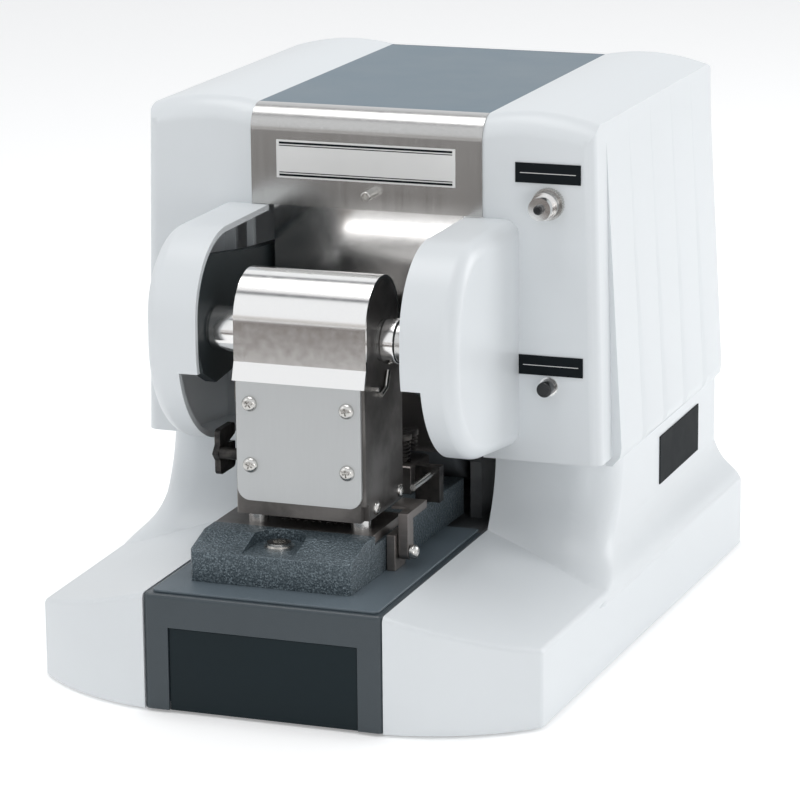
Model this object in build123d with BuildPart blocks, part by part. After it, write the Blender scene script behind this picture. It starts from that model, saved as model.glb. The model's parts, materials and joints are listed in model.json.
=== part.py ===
from build123d import *
import math
import os

os.makedirs("parts", exist_ok=True)

# ---------------------------------------------------------------- driving dimensions, mm
# Heights are above the table. Depths are measured back from the front panel's face, and the
# frame's origin lies on the table under the middle of the base.
depth = 372.0
half_strip = 62.0            # half width of the centre strip between the two shells
ground_gap = 1.5             # shells and panels stand this far off the table
fit = 0.05                   # radial running fit of shafts, pins and pillars
seam = 0.3                   # gap between a let-in plate and its window

# side shells
wall = 3.5
front_half = 131.0           # outer front corner of the base
rear_half = 140.0            # outer rear corner of the base
sweep_depth = 34.0           # the front face sweeps back this far
sweep_point = (98.5, 10.5)   # a point on that sweep
outer_edge_height = 40.0
panel_height = 60.0
corner_radius = 5.0
base_edge_radius = 3.0
column_front = 150.0
column_low = 100.0           # underside of the column's overhanging front
column_half = 124.0
column_half_top = 119.5
column_edge_radius = 6.0
top_height = 275.0
crown = 2.4
crest_x = 85.0
top_radius = 13.0
neck_radius = 22.0
# the neck under the column: height, front depth, outer half width at front and rear
neck_flare = [
    (36.0, 105.0, 134.4, 139.0),
    (40.0, 118.0, 132.6, 138.8),
    (44.0, 130.0, 130.3, 135.5),
    (48.5, 141.0, 127.0, 130.5),
    (54.0, 149.5, 124.8, 126.6),
    (60.0, 156.0, column_half, column_half),
]
neck_rise = [
    neck_flare[-1],
    (72.0, 163.5, column_half, column_half),
    (84.0, 168.0, column_half, column_half),
    (column_low, 170.0, column_half, column_half),
]

# ribbed side panel of each shell
rib_front = 171.0
rib_rear = 364.0
rib_count = 5
rib_proud = 5.0
rib_top = 262.0
rib_bottom_round = 5.0
groove_depth = 2.9
groove_ramp = 15.0

# guards round the rocker arms
guard_wall = 3.0
guard_inner = 53.0
guard_inner_low = 63.0
guard_outer = 81.0
guard_front = 51.5
guard_top = 224.0
guard_nose_radius = 42.0
guard_nose_low = 170.0
guard_chin_radius = 57.7
guard_chin_angle = 80.8
guard_back_low = 107.0
guard_step = 157.0
guard_edge_radius = 8.0
arm_slot_outer = 72.0
arm_slot_low = 140.0

# centre sheets
sheet = 2.0
fold_radius = 3.0
deck_thickness = 1.3
deck_inset = 3.5
window_half = 49.0
window_top = 43.5
window_plate_depth = 1.0
fascia_front = 149.0
fascia_thickness = 1.5
fascia_fold = 12.5
label_half = 48.0
label_low = 238.5
label_high = 258.0
label_thickness = 0.4
fascia_pin_x = 3.0
fascia_pin_height = 232.8
fascia_pin_radius = 2.5
fascia_pin_length = 9.0
recess_half = 51.0
recess_face = 152.0
recess_flange = 26.0
rear_face = 371.0

# base casting
casting_half = 58.0
casting_wall = 8.0
casting_front = 3.0
casting_rear = 366.0
casting_low = 5.0
foot_radius = 11.0
foot_x = 38.0
foot_front = 26.0
foot_rear = 343.0

# bed and die
bed_left = -46.3
bed_right = 37.5
bed_right_rear = 42.0
bed_left_rear = -46.3
bed_front = 22.4
bed_rear = 177.0
bed_front_height = 15.2
bed_slope_end = 42.0
bed_table = 16.7             # the die plate's underside lies this far above the deck
bed_rear_step = 2.0          # the bed behind the die is this much lower
die_thickness = 4.5
die_left = -46.0
die_right = 37.0
die_front = 55.0
die_rear = 98.0
bed_screw_x = -6.0
bed_screw_depth = 40.0
bed_screw_radius = 4.0
bed_pocket_radius = 13.5
bed_pocket_floor = 15.7
washer_radius = 7.5
cap_radius = 6.0
chad_half = 19.5

# stops behind the die: a sprung bolt on a block, and a gauge rod on its own foot
stop_block_top = 95.0
spring_x = 20.0
spring_depth = 147.0
spring_top = 107.0
spring_radius = 3.2
spring_wire = 1.0
spring_turns = 5.5
spring_bolt_radius = 2.0
spring_cap_radius = 4.2
gauge_x = 42.0
gauge_height = 95.5
gauge_radius = 1.6
gauge_tip_depth = 99.8
gauge_foot_depth = 131.0

# stop lever on the right of the die
lever_depth = 76.0
lever_height = 70.0
lever_top = 93.0
lever_inner = 44.2
lever_outer = 49.2
lever_reach_x = 36.3
lever_pin_radius = 2.0
lever_head_radius = 3.6
lever_foot_x = 41.5
lever_foot_width = 4.4
lever_foot_top = 79.5

# punching head
head_half = 34.0
head_front = 54.0
head_rear = 107.0
head_low = 88.5
head_block_top = 156.0
cheek_thickness = 6.0
cheek_radius = 22.0
cheek_depth = 78.5
cheek_height = 184.0
cover_thickness = 1.5
cover_foot = 165.0
cover_foot_reach = 3.0
plate_half = 32.5
plate_low = 96.0
plate_thickness = 2.0
plate_corner = 6.5
plate_screw_x = 25.3
plate_screw_heights = (114.0, 145.0)
head_screw_radius = 2.0
head_screw_length = 6.0
head_screw_head = 3.95       # radius of the head
head_screw_crown = 2.4       # its height
side_screw_depths = (69.0, 102.5)
side_screw_height = 92.8
side_screw_radius = 1.2
side_screw_length = 1.8
side_screw_head = 3.4
side_screw_crown = 1.6
cover_rear_low = 170.0
clip_radius = 1.3
wing_height = 114.8
wing_stem_radius = 2.9
wing_face = 47.0
wing_thickness = 3.0
stroke = 5.2
pin_tip = 86.9               # lowest point of the punch pins at rest
pin_radius = 1.0
pin_pitch = 4.0
pin_columns = 9
pin_rows = 3
pin_centre = 74.0
pin_length = 18.0
pin_clearance = 0.15
block_width = 40.0
block_depth = 14.0
block_height = 20.0
block_low = 90.0
pillar_x = 27.0
pillar_depth = 66.0
pillar_radius = 5.0
pillar_top = 148.0

# rocker arms: they hinge inside the column and carry the cross shaft
pivot_depth = 240.0
arm_reach = 161.0            # pivot to cross shaft
arm_tail = 70.0              # pivot to tail pin
shaft_height = 175.0
shaft_radius = 10.0
shaft_end = 62.0
shaft_slack = 0.1            # the swing of the arms moves the shaft a little in the head
collar_radius = 11.3
collar_gap = 1.0
arm_inner = 54.5
arm_thickness = 6.0
pivot_radius = 8.0
bush_wall = 3.0
tail_pin_radius = 5.0
pivot_boss = 22.0
tail_boss = 14.0

# drive inside the column
frame_inner = 44.0
frame_thickness = 6.0
frame_outline = [
    (182.0, 58.0),
    (350.0, 58.0),
    (350.0, 140.0),
    (330.0, 195.0),
    (205.0, 205.0),
    (165.0, 140.0),
    (165.0, 100.0),
    (182.0, 88.0),
]
tail_window = 12.0
crank_height = 105.0
crank_radius = 7.0
crank_bush_radius = 13.0
crank_flange = 2.0
eccentric_radius = 16.0
rod_half = 6.0
rod_slack = 0.15
rod_end_wall = 6.0
rod_shank = 14.0
motor_depth = 212.0
motor_height = 114.0
motor_radius = 42.0
motor_half = 38.0
motor_core_radius = 30.0
motor_core_half = 26.0
motor_shaft_radius = 5.0
shaft_passage = 8.0
belt_x = 82.0
belt_width = 8.0
belt_thickness = 5.0
belt_small = 10.0
belt_large = 38.0
belt_clearance = 0.3
rim_height = 3.3
rim_width = 1.5
flywheel_rim = 6.0           # below the belt's seat
flywheel_hub = 14.0
web_relief = 1.5
motor_foot_radius = 5.0
motor_foot_spread = (24.0, 22.0)
capacitor_radius = 17.0
capacitor_height = 84.0
capacitor_rear = 240.0
capacitor_length = 60.0
clamp_wall = 1.5
clamp_width = 14.0
tie_radius = 6.0
tie_places = ((200.0, 178.0), (264.0, 76.0), (332.0, 150.0))
gap = 0.5                    # end play and side play of turning pieces

# controls and plates on the right column
switch_x = 96.7
switch_height = 233.2
switch_nut_radius = 8.2
switch_nut_thickness = 3.2
switch_radius = 6.6
switch_reach = 10.0
switch_tip_radius = 5.8
switch_tip_reach = 16.0
plunger_radius = 2.4
plunger_proud = 3.0
switch_travel = 3.0
button_height = 139.8
button_radius = 3.9
button_proud = 9.0
button_travel = 3.5
bezel_radius = 4.9
bezel_proud = 0.8
bezel_wall = 0.6
strip_thickness = 0.6
data_plate_front = 257.0
data_plate_low = 63.0
data_plate_length = 75.0
data_plate_height = 26.0
name_strip_places = (
    (79.2, 113.2, 243.2, 253.2),
    (81.0, 114.6, 145.4, 155.4),
)

# rear fittings
vent_count = 9
vent_pitch = 9.0
vent_drop = 53.0             # the highest vent below the top of the housing
vent_width = 70.0
inlet_x = -30.0
inlet_height = 34.0
inlet_width = 28.0
inlet_tall = 22.0
inlet_body = 20.0
rear_screw_x = 54.0
rear_screw_low = 14.0
rear_screw_drop = 30.0       # upper screws below the top of the housing
rear_screw_radius = 2.0
rear_screw_length = 9.0
rear_screw_head = 3.4
rear_screw_crown = 1.0

# ---------------------------------------------------------------- derived values
front = -depth / 2
deck_top = panel_height + deck_thickness
fascia_low = guard_top + seam
casting_top = panel_height - sheet
swing = math.asin(stroke / 2 / arm_reach)
pivot_height = shaft_height - arm_reach * math.sin(swing)
shaft_depth = pivot_depth - arm_reach * math.cos(swing)
tail_depth = pivot_depth + arm_tail * math.cos(swing)
tail_height = pivot_height - arm_tail * math.sin(swing)
eccentricity = stroke * arm_tail / arm_reach / 2
bed_top = deck_top + bed_table
die_top = bed_top + die_thickness
arm_outer = arm_inner + arm_thickness
frame_outer = frame_inner + frame_thickness
crest_radius = (crest_x - half_strip) ** 2 / (2 * crown)
draft = (column_half - column_half_top) / (top_height - column_low)
reach = 10.0                 # solids that get trimmed run on this far
touch = 0.05                 # trimming faces stand off a face that they run along
rear_screw_places = [
    (x, z)
    for z in (rear_screw_low, top_height - rear_screw_drop)
    for x in (-rear_screw_x, rear_screw_x)
]


def side_plane(x):
    # sketch axes: depth behind the front face, height; it faces +X
    return Plane(origin=(x, front, 0), x_dir=(0, 1, 0), z_dir=(1, 0, 0))


def level_plane(z):
    # sketch axes: X, depth behind the front face; it faces up
    return Plane(origin=(0, front, z), x_dir=(1, 0, 0), z_dir=(0, 0, 1))


def facing_plane(y):
    # sketch axes: X, height; it faces the front
    return Plane(origin=(0, front + y, 0), x_dir=(1, 0, 0), z_dir=(0, -1, 0))


def write(piece, name):
    piece.part.label = name
    export_step(piece.part, f"parts/{name}.step")


def crest(x):
    return top_height + crown - (x - crest_x) ** 2 / (2 * crest_radius)


def column_edge(z):
    return column_half - draft * (z - column_low)


# ---------------------------------------------------------------- side shells
def base_block(inset):
    # flared foot of a shell: a swept plan under a top that falls outwards
    with BuildPart() as block:
        with BuildSketch(level_plane(-reach if inset else ground_gap)) as plan:
            with BuildLine():
                ThreePointArc((half_strip, 0), sweep_point, (front_half, sweep_depth))
                Polyline(
                    (front_half, sweep_depth),
                    (rear_half, depth),
                    (half_strip - reach, depth),
                    (half_strip - reach, 0),
                    (half_strip, 0),
                )
            make_face()
            fillet(plan.vertices().sort_by(Axis.X)[-2:], corner_radius)
            if inset:
                offset(amount=-inset)
        extrude(amount=panel_height + 2 * reach)
        for y, half in ((-reach, front_half), (depth + reach, rear_half)):
            slope = (panel_height - outer_edge_height) / (half - half_strip)
            inner_x = half_strip - 2 * reach
            outer_x = rear_half + reach
            with BuildSketch(facing_plane(y)):
                with BuildLine():
                    Polyline(
                        (inner_x, -2 * reach),
                        (outer_x, -2 * reach),
                        (outer_x, panel_height - inset - slope * (outer_x - half_strip)),
                        (inner_x, panel_height - inset - slope * (inner_x - half_strip)),
                        close=True,
                    )
                make_face()
        loft(ruled=True, mode=Mode.INTERSECT)
        if not inset:
            top_edges = block.faces().sort_by(Axis.Z)[-1].edges().sort_by(Axis.X)
            fillet(top_edges[1:], base_edge_radius)
    return block.part


def neck_face(section, inset=0.0):
    z, y, x_front, x_rear = section
    with BuildSketch(level_plane(z)) as face:
        with BuildLine():
            Polyline(
                (half_strip - reach, y + inset),
                (x_front - inset, y + inset),
                (x_rear - inset, depth - inset),
                (half_strip - reach, depth - inset),
                close=True,
            )
        make_face()
        front_corner = face.vertices().group_by(Axis.Y)[0].sort_by(Axis.X)[-1]
        fillet(front_corner, neck_radius - inset)
        rear_corner = face.vertices().group_by(Axis.Y)[-1].sort_by(Axis.X)[-1]
        fillet(rear_corner, corner_radius - inset / 2)
    return face.sketch


def column_block(inset):
    with BuildPart() as block:
        low = column_low + inset
        high = top_height + reach
        with BuildSketch(facing_plane(depth - inset)):
            with BuildLine():
                Polyline(
                    (half_strip - reach, low),
                    (column_edge(low) - inset, low),
                    (column_edge(high) - inset, high),
                    (half_strip - reach, high),
                    close=True,
                )
            make_face()
        extrude(amount=depth - column_front - 2 * inset)
        side = block.faces().sort_by(Axis.X)[-1]
        uprights = [e for e in side.edges() if abs((e @ 1 - e @ 0).Z) > reach]
        fillet(uprights, column_edge_radius - inset / 2)
        # the crowned top rolls over into the front and rear faces
        spans = 8
        low_x = half_strip - 2 * reach
        step = (column_half + 2 * reach - low_x) / spans
        roofs = []
        for i in range(spans + 1):
            x = low_x + i * step
            with BuildSketch(side_plane(x)) as roof:
                with BuildLine():
                    Polyline(
                        (column_front + inset - touch, 0),
                        (column_front + inset - touch, crest(x) - inset),
                        (depth - inset + touch, crest(x) - inset),
                        (depth - inset + touch, 0),
                        close=True,
                    )
                make_face()
                fillet(roof.vertices().group_by(Axis.Y)[-1], top_radius - inset)
            roofs.append(roof.sketch)
        loft(roofs, mode=Mode.INTERSECT)
        # and into the outer side
        roll_x = column_edge(top_height) - 0.8 * top_radius
        fall = (roll_x - crest_x) / crest_radius
        side_x = column_edge(top_height) - inset + touch
        with BuildSketch(facing_plane(depth + reach)) as section:
            with BuildLine():
                Polyline(
                    (half_strip - 3 * reach, 0),
                    (side_x + draft * top_height, 0),
                    (side_x, crest(roll_x) - inset - fall * (side_x - roll_x)),
                    (half_strip - 3 * reach, crest(roll_x) - inset
                     + fall * (roll_x - half_strip + 3 * reach)),
                    close=True,
                )
            make_face()
            fillet(section.vertices().group_by(Axis.X)[-2], top_radius - inset)
        extrude(amount=depth + 2 * reach, mode=Mode.INTERSECT)
    return block.part


def side_shell():
    slant = (column_half + rib_proud - column_edge(rib_top)) / (rib_top - column_low)

    def rib_face(z):
        return column_edge(rib_top) + slant * (rib_top - z)

    with BuildPart() as cavity:
        add(base_block(wall))
        inner_neck = (outer_edge_height - reach, neck_rise[-1][1], column_half, column_half)
        extrude(neck_face(inner_neck, wall), amount=column_low + reach - inner_neck[0])
        add(column_block(wall))
    with BuildPart() as shell:
        add(base_block(0.0))
        loft([neck_face(section) for section in neck_flare])
        loft([neck_face(section) for section in neck_rise])
        add(column_block(0.0))
        with BuildSketch(facing_plane(rib_rear)):
            with BuildLine():
                Polyline(
                    (column_half - wall, column_low - rib_bottom_round),
                    (column_half - touch, column_low - rib_bottom_round),
                    (rib_face(column_low) - 1, column_low),
                    (rib_face(column_low + rib_bottom_round), column_low + rib_bottom_round),
                    (column_edge(rib_top), rib_top),
                    (column_edge(rib_top) - wall, rib_top),
                    close=True,
                )
            make_face()
        extrude(amount=rib_rear - rib_front)
        add(cavity.part, mode=Mode.SUBTRACT)
        split(bisect_by=Plane.YZ.offset(half_strip), keep=Keep.TOP)
        pitch = (rib_rear - rib_front) / rib_count
        for i in range(1, rib_count):
            y = rib_front + i * pitch
            faces = []
            for z, share in ((column_low - reach, 1.0), (rib_top, 0.15)):
                with BuildSketch(level_plane(z)) as groove:
                    with BuildLine():
                        Polyline(
                            (rib_face(z) + 1, y),
                            (rib_face(z) - groove_depth * share, y),
                            (rib_face(z) + 1, y + groove_ramp * (0.4 + 0.6 * share)),
                            close=True,
                        )
                    make_face()
                faces.append(groove.sketch)
            loft(faces, ruled=True, mode=Mode.SUBTRACT)
        # relief slot in the front wall, beside the rocker arm and inside the guard
        with BuildSketch(facing_plane(column_front + wall + 1)):
            with BuildLine():
                Polyline(
                    (half_strip + wall, arm_slot_low),
                    (arm_slot_outer, arm_slot_low),
                    (arm_slot_outer, guard_top - guard_wall),
                    (half_strip + wall, guard_top - guard_wall),
                    close=True,
                )
            make_face()
        extrude(amount=wall + 2, mode=Mode.SUBTRACT)
    return shell.part


shell_solid = side_shell()
with BuildPart() as left_shell:
    mirror(shell_solid, about=Plane.YZ)
write(left_shell, "left_shell")

with BuildPart() as right_shell:
    add(shell_solid)
    with BuildSketch(facing_plane(column_front + wall + 1)):
        with Locations((switch_x, switch_height)):
            Circle(switch_radius + fit)
        with Locations((switch_x, button_height)):
            Circle(button_radius + bezel_wall)
    extrude(amount=wall + 2, mode=Mode.SUBTRACT)
write(right_shell, "right_shell")


# ---------------------------------------------------------------- guards
def guard_face(x, inset, back):
    with BuildSketch(side_plane(x)) as face:
        with BuildLine():
            roof_y = guard_front + guard_nose_radius
            Line((back, guard_top - inset), (roof_y, guard_top - inset))
            nose = CenterArc(
                (roof_y, guard_top - guard_nose_radius), guard_nose_radius - inset, 90, 90
            )
            Line(nose @ 1, (guard_front + inset, guard_nose_low))
            chin = CenterArc(
                (guard_front + guard_chin_radius, guard_nose_low),
                guard_chin_radius - inset, 180, guard_chin_angle,
            )
            Line(chin @ 1, (back, guard_back_low + inset))
            Line((back, guard_back_low + inset), (back, guard_top - inset))
        make_face()
    return face.sketch


with BuildPart() as right_guard:
    extrude(guard_face(guard_inner, 0.0, column_front), amount=guard_outer - guard_inner)
    rim = right_guard.faces().sort_by(Axis.X)[-1].edges().sort_by(Axis.Y)[:-1]
    fillet(rim, guard_edge_radius)
    hollow = guard_face(guard_inner - reach, guard_wall, column_front + reach)
    extrude(hollow, amount=guard_outer - guard_wall - guard_inner + reach, mode=Mode.SUBTRACT)
    with BuildSketch(side_plane(guard_inner - reach)):
        with Locations((column_front, guard_step)):
            Rectangle(2 * column_front, guard_top, align=(Align.CENTER, Align.MAX))
    extrude(amount=guard_inner_low - guard_inner + reach, mode=Mode.SUBTRACT)
write(right_guard, "right_guard")

with BuildPart() as left_guard:
    mirror(right_guard.part, about=Plane.YZ)
write(left_guard, "left_guard")

# ---------------------------------------------------------------- centre sheets
with BuildPart() as front_panel:
    with BuildSketch(level_plane(ground_gap)) as outline:
        Rectangle(2 * half_strip, column_front, align=(Align.CENTER, Align.MIN))
        fillet(outline.vertices().group_by(Axis.Y)[0], fold_radius)
    extrude(amount=panel_height - ground_gap)
    folds = front_panel.faces().sort_by(Axis.Z)[-1].edges().sort_by(Axis.Y)[:-1]
    fillet(folds, fold_radius - 1)
    with BuildSketch(level_plane(ground_gap - 1)):
        with Locations((0, sheet)):
            Rectangle(2 * (half_strip - sheet), column_front, align=(Align.CENTER, Align.MIN))
    extrude(amount=panel_height - sheet - ground_gap + 1, mode=Mode.SUBTRACT)
    with BuildSketch(facing_plane(sheet + 1)):
        Rectangle(2 * window_half, 2 * window_top)
    extrude(amount=sheet + 2, mode=Mode.SUBTRACT)
    with BuildSketch(level_plane(0)):
        with Locations((bed_screw_x, bed_screw_depth)):
            Circle(bed_screw_radius + 1)
        with Locations((0, pin_centre)):
            Rectangle(2 * chad_half, block_depth)
    extrude(amount=panel_height + 1, mode=Mode.SUBTRACT)
write(front_panel, "front_panel")

with BuildPart() as front_inset:
    with BuildSketch(facing_plane(casting_front)):
        with Locations((0, ground_gap)):
            Rectangle(
                2 * (window_half - seam), window_top - seam - ground_gap,
                align=(Align.CENTER, Align.MIN),
            )
    extrude(amount=casting_front - window_plate_depth)
write(front_inset, "front_inset")

with BuildPart() as deck:
    with BuildSketch(level_plane(panel_height)) as outline:
        with Locations((0, deck_inset)):
            Rectangle(
                2 * (half_strip - deck_inset), recess_face - deck_inset,
                align=(Align.CENTER, Align.MIN),
            )
        fillet(outline.vertices().group_by(Axis.Y)[0], fold_radius)
        with Locations((bed_screw_x, bed_screw_depth)):
            Circle(bed_screw_radius + 1, mode=Mode.SUBTRACT)
        with Locations((0, pin_centre)):
            Rectangle(2 * chad_half, block_depth, mode=Mode.SUBTRACT)
    extrude(amount=deck_thickness)
write(deck, "deck")


def folded_strip(face_depth, low, direction, thickness):
    # upright sheet whose top rolls over to the level of the top cover
    centre = face_depth + direction * fascia_fold
    with BuildSketch(side_plane(-half_strip)) as section:
        with BuildLine():
            turn = top_height - fascia_fold
            arc_start = 180 if direction > 0 else 0
            Line((face_depth, low), (face_depth, turn))
            roll = CenterArc((centre, turn), fascia_fold, arc_start, -90 * direction)
            inner = CenterArc((centre, turn), fascia_fold - thickness, arc_start,
                              -90 * direction)
            Line(roll @ 1, inner @ 1)
            Line(inner @ 0, (face_depth + direction * thickness, low))
            Line((face_depth + direction * thickness, low), (face_depth, low))
        make_face()
    return section.sketch


with BuildPart() as fascia:
    extrude(folded_strip(fascia_front, fascia_low, 1, fascia_thickness),
            amount=2 * half_strip)
    with BuildSketch(facing_plane(fascia_front + fascia_thickness + 1)):
        with Locations((fascia_pin_x, fascia_pin_height)):
            Circle(fascia_pin_radius)
    extrude(amount=fascia_thickness + 2, mode=Mode.SUBTRACT)
write(fascia, "fascia")

with BuildPart() as fascia_label:
    with BuildSketch(facing_plane(fascia_front)):
        with Locations((0, label_low)):
            Rectangle(2 * label_half, label_high - label_low,
                      align=(Align.CENTER, Align.MIN))
    extrude(amount=label_thickness)
write(fascia_label, "fascia_label")

with BuildPart() as fascia_pin:
    with BuildSketch(facing_plane(recess_face)):
        with Locations((fascia_pin_x, fascia_pin_height)):
            Circle(fascia_pin_radius)
    extrude(amount=recess_face - fascia_front + fascia_pin_length)
    tip = fascia_pin.faces().sort_by(Axis.Y)[0]
    fillet(tip.edges(), 0.5)
    with BuildSketch(facing_plane(fascia_front - fascia_pin_length + 2.5)):
        with Locations((fascia_pin_x, fascia_pin_height)):
            RegularPolygon(1.25, 6, major_radius=False)
    extrude(amount=3, mode=Mode.SUBTRACT)
write(fascia_pin, "fascia_pin")

with BuildPart() as top_cover:
    with BuildSketch(level_plane(top_height - sheet)):
        with Locations((0, fascia_front + fascia_fold)):
            Rectangle(
                2 * half_strip, rear_face - fascia_front - 2 * fascia_fold,
                align=(Align.CENTER, Align.MIN),
            )
    extrude(amount=sheet)
write(top_cover, "top_cover")

with BuildPart() as rear_panel:
    extrude(folded_strip(rear_face, ground_gap, -1, sheet), amount=2 * half_strip)
    with BuildSketch(facing_plane(rear_face + 1)):
        with Locations([(0, top_height - vent_drop - i * vent_pitch) for i in range(vent_count)]):
            SlotOverall(vent_width, 3.5)
        with Locations((inlet_x, inlet_height)):
            Rectangle(inlet_width + 2 * seam, inlet_tall + 2 * seam)
        with Locations(rear_screw_places):
            Circle(rear_screw_radius)
    extrude(amount=sheet + 2, mode=Mode.SUBTRACT)
write(rear_panel, "rear_panel")

# bright sheet behind the head; its side flanges are fixed to the side frames
recess_sheet = recess_half - frame_outer
with BuildPart() as recess_panel:
    with BuildSketch(facing_plane(recess_face + recess_sheet)):
        with Locations((0, fascia_low + 3)):
            Rectangle(2 * recess_half, fascia_low + 3 - column_low,
                      align=(Align.CENTER, Align.MAX))
    extrude(amount=recess_sheet)
    for low in (-recess_half, frame_outer):
        with BuildSketch(side_plane(low)):
            with Locations((recess_face, 104.0)):
                Rectangle(recess_flange, 34.0, align=(Align.MIN, Align.MIN))
        extrude(amount=recess_sheet)
write(recess_panel, "recess_panel")

# ---------------------------------------------------------------- base casting and feet
with BuildPart() as base_casting:
    with BuildSketch(level_plane(casting_low)):
        with Locations((0, casting_front)):
            Rectangle(2 * casting_half, casting_rear - casting_front,
                      align=(Align.CENTER, Align.MIN))
    extrude(amount=casting_top - casting_low)
    bays = 3
    bay = (casting_rear - casting_front - (bays + 1) * casting_wall) / bays
    for i in range(bays):
        with BuildSketch(level_plane(0)):
            with Locations((0, casting_front + casting_wall + i * (bay + casting_wall))):
                Rectangle(2 * (casting_half - casting_wall), bay,
                          align=(Align.CENTER, Align.MIN))
        extrude(amount=casting_top - casting_wall, mode=Mode.SUBTRACT)
    with BuildSketch(level_plane(casting_low)):
        with Locations([(x, y) for x in (-foot_x, foot_x) for y in (foot_front, foot_rear)]):
            Circle(foot_radius + 3)
    extrude(amount=casting_top - casting_low)
    with BuildSketch(level_plane(casting_top - casting_wall)):
        with Locations((bed_screw_x, bed_screw_depth)):
            Circle(bed_screw_radius)
        with Locations((0, pin_centre)):
            Rectangle(2 * chad_half, block_depth)
    extrude(amount=casting_wall, mode=Mode.SUBTRACT)
    with BuildSketch(facing_plane(rear_face)):
        with Locations((inlet_x, inlet_height)):
            Rectangle(inlet_width + 2, inlet_tall + 2)
    extrude(amount=inlet_body + 1, mode=Mode.SUBTRACT)
    with BuildSketch(facing_plane(rear_face)):
        with Locations(rear_screw_places[:2]):
            Circle(rear_screw_radius)
    extrude(amount=rear_screw_length, mode=Mode.SUBTRACT)
write(base_casting, "base_casting")

with BuildPart() as feet:
    with BuildSketch(level_plane(0)):
        with Locations([(x, y) for x in (-foot_x, foot_x) for y in (foot_front, foot_rear)]):
            Circle(foot_radius)
    extrude(amount=casting_low, taper=-4)
write(feet, "feet")

# ---------------------------------------------------------------- bed and die
with BuildPart() as bed:
    with BuildSketch(level_plane(deck_top)) as plan:
        with BuildLine():
            Polyline(
                (bed_left, bed_front),
                (bed_right, bed_front),
                (bed_right_rear, bed_rear),
                (bed_left_rear, bed_rear),
                close=True,
            )
        make_face()
        fillet(plan.vertices().group_by(Axis.Y)[0], 2.5)
    extrude(amount=bed_table + die_thickness)
    # front slope up to the die plate, and the seat that the plate lies on
    with BuildSketch(side_plane(bed_left_rear - reach)):
        with BuildLine():
            Polyline(
                (bed_front - reach, deck_top - 1),
                (bed_front - reach, deck_top + bed_front_height - 1.5),
                (bed_front, deck_top + bed_front_height),
                (bed_slope_end, die_top),
                (die_front, die_top),
                (die_front, bed_top),
                (die_rear, bed_top),
                (die_rear, die_top - bed_rear_step),
                (bed_rear + reach, die_top - bed_rear_step),
                (bed_rear + reach, deck_top - 1),
                close=True,
            )
        make_face()
    extrude(amount=bed_right_rear - bed_left_rear + 2 * reach, mode=Mode.INTERSECT)
    # pocket and hole of the fixing screw
    with BuildSketch(level_plane(deck_top + bed_pocket_floor)):
        with Locations((bed_screw_x, bed_screw_depth)):
            Circle(bed_pocket_radius)
            Rectangle(2 * bed_pocket_radius, bed_screw_depth - bed_front,
                      align=(Align.CENTER, Align.MAX))
    extrude(amount=bed_table, mode=Mode.SUBTRACT)
    with BuildSketch(level_plane(deck_top)):
        with Locations((bed_screw_x, bed_screw_depth)):
            Circle(bed_screw_radius + 0.3)
        with Locations((0, pin_centre)):
            Rectangle(2 * chad_half, block_depth)
        with Locations((-pillar_x, pillar_depth), (pillar_x, pillar_depth)):
            Circle(pillar_radius)
    extrude(amount=bed_table + die_thickness, mode=Mode.SUBTRACT)
write(bed, "bed")

with BuildPart() as die_plate:
    with BuildSketch(level_plane(bed_top)):
        with Locations(((die_left + die_right) / 2, (die_front + die_rear) / 2)):
            Rectangle(die_right - die_left, die_rear - die_front)
        with Locations((0, pin_centre)):
            with GridLocations(pin_pitch, pin_pitch, pin_columns, pin_rows):
                Circle(pin_radius + pin_clearance, mode=Mode.SUBTRACT)
        with Locations((-pillar_x, pillar_depth), (pillar_x, pillar_depth)):
            Circle(pillar_radius, mode=Mode.SUBTRACT)
    extrude(amount=die_thickness)
write(die_plate, "die_plate")

with BuildPart() as bed_screw:
    with BuildSketch(level_plane(casting_top - casting_wall)):
        with Locations((bed_screw_x, bed_screw_depth)):
            Circle(bed_screw_radius)
    pocket_level = deck_top + bed_pocket_floor
    extrude(amount=pocket_level - casting_top + casting_wall)
    for radius, height in ((washer_radius, 1.2), (cap_radius, 3.0)):
        with BuildSketch(level_plane(pocket_level)):
            with Locations((bed_screw_x, bed_screw_depth)):
                Circle(radius)
        extrude(amount=height)
    with BuildSketch(level_plane(pocket_level + 0.5)):
        with Locations((bed_screw_x, bed_screw_depth)):
            RegularPolygon(3.0, 6, major_radius=False)
    extrude(amount=5, mode=Mode.SUBTRACT)
write(bed_screw, "bed_screw")

with BuildPart() as guide_pillars:
    with BuildSketch(level_plane(deck_top)):
        with Locations((-pillar_x, pillar_depth), (pillar_x, pillar_depth)):
            Circle(pillar_radius)
    extrude(amount=pillar_top - deck_top)
    tips = guide_pillars.faces().group_by(Axis.Z)[-1].edges()
    chamfer(tips, 0.6)
write(guide_pillars, "guide_pillars")

# ---------------------------------------------------------------- stops behind the die
rear_table = die_top - bed_rear_step
with BuildPart() as rear_block:
    with BuildSketch(level_plane(rear_table)):
        with Locations((16.5, 152.0)):
            Rectangle(21.0, 28.0)
    extrude(amount=stop_block_top - rear_table)
    chamfer(rear_block.faces().sort_by(Axis.Z)[-1].edges(), 0.8)
write(rear_block, "rear_block")

with BuildPart() as spring_bolt:
    for radius, low, high in (
        (spring_bolt_radius, stop_block_top, spring_top + 1),
        (spring_cap_radius, spring_top, spring_top + 2.8),
    ):
        with BuildSketch(level_plane(low)):
            with Locations((spring_x, spring_depth)):
                Circle(radius)
        extrude(amount=high - low)
    fillet(spring_bolt.faces().sort_by(Axis.Z)[-1].edges(), 0.8)
write(spring_bolt, "spring_bolt")

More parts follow.
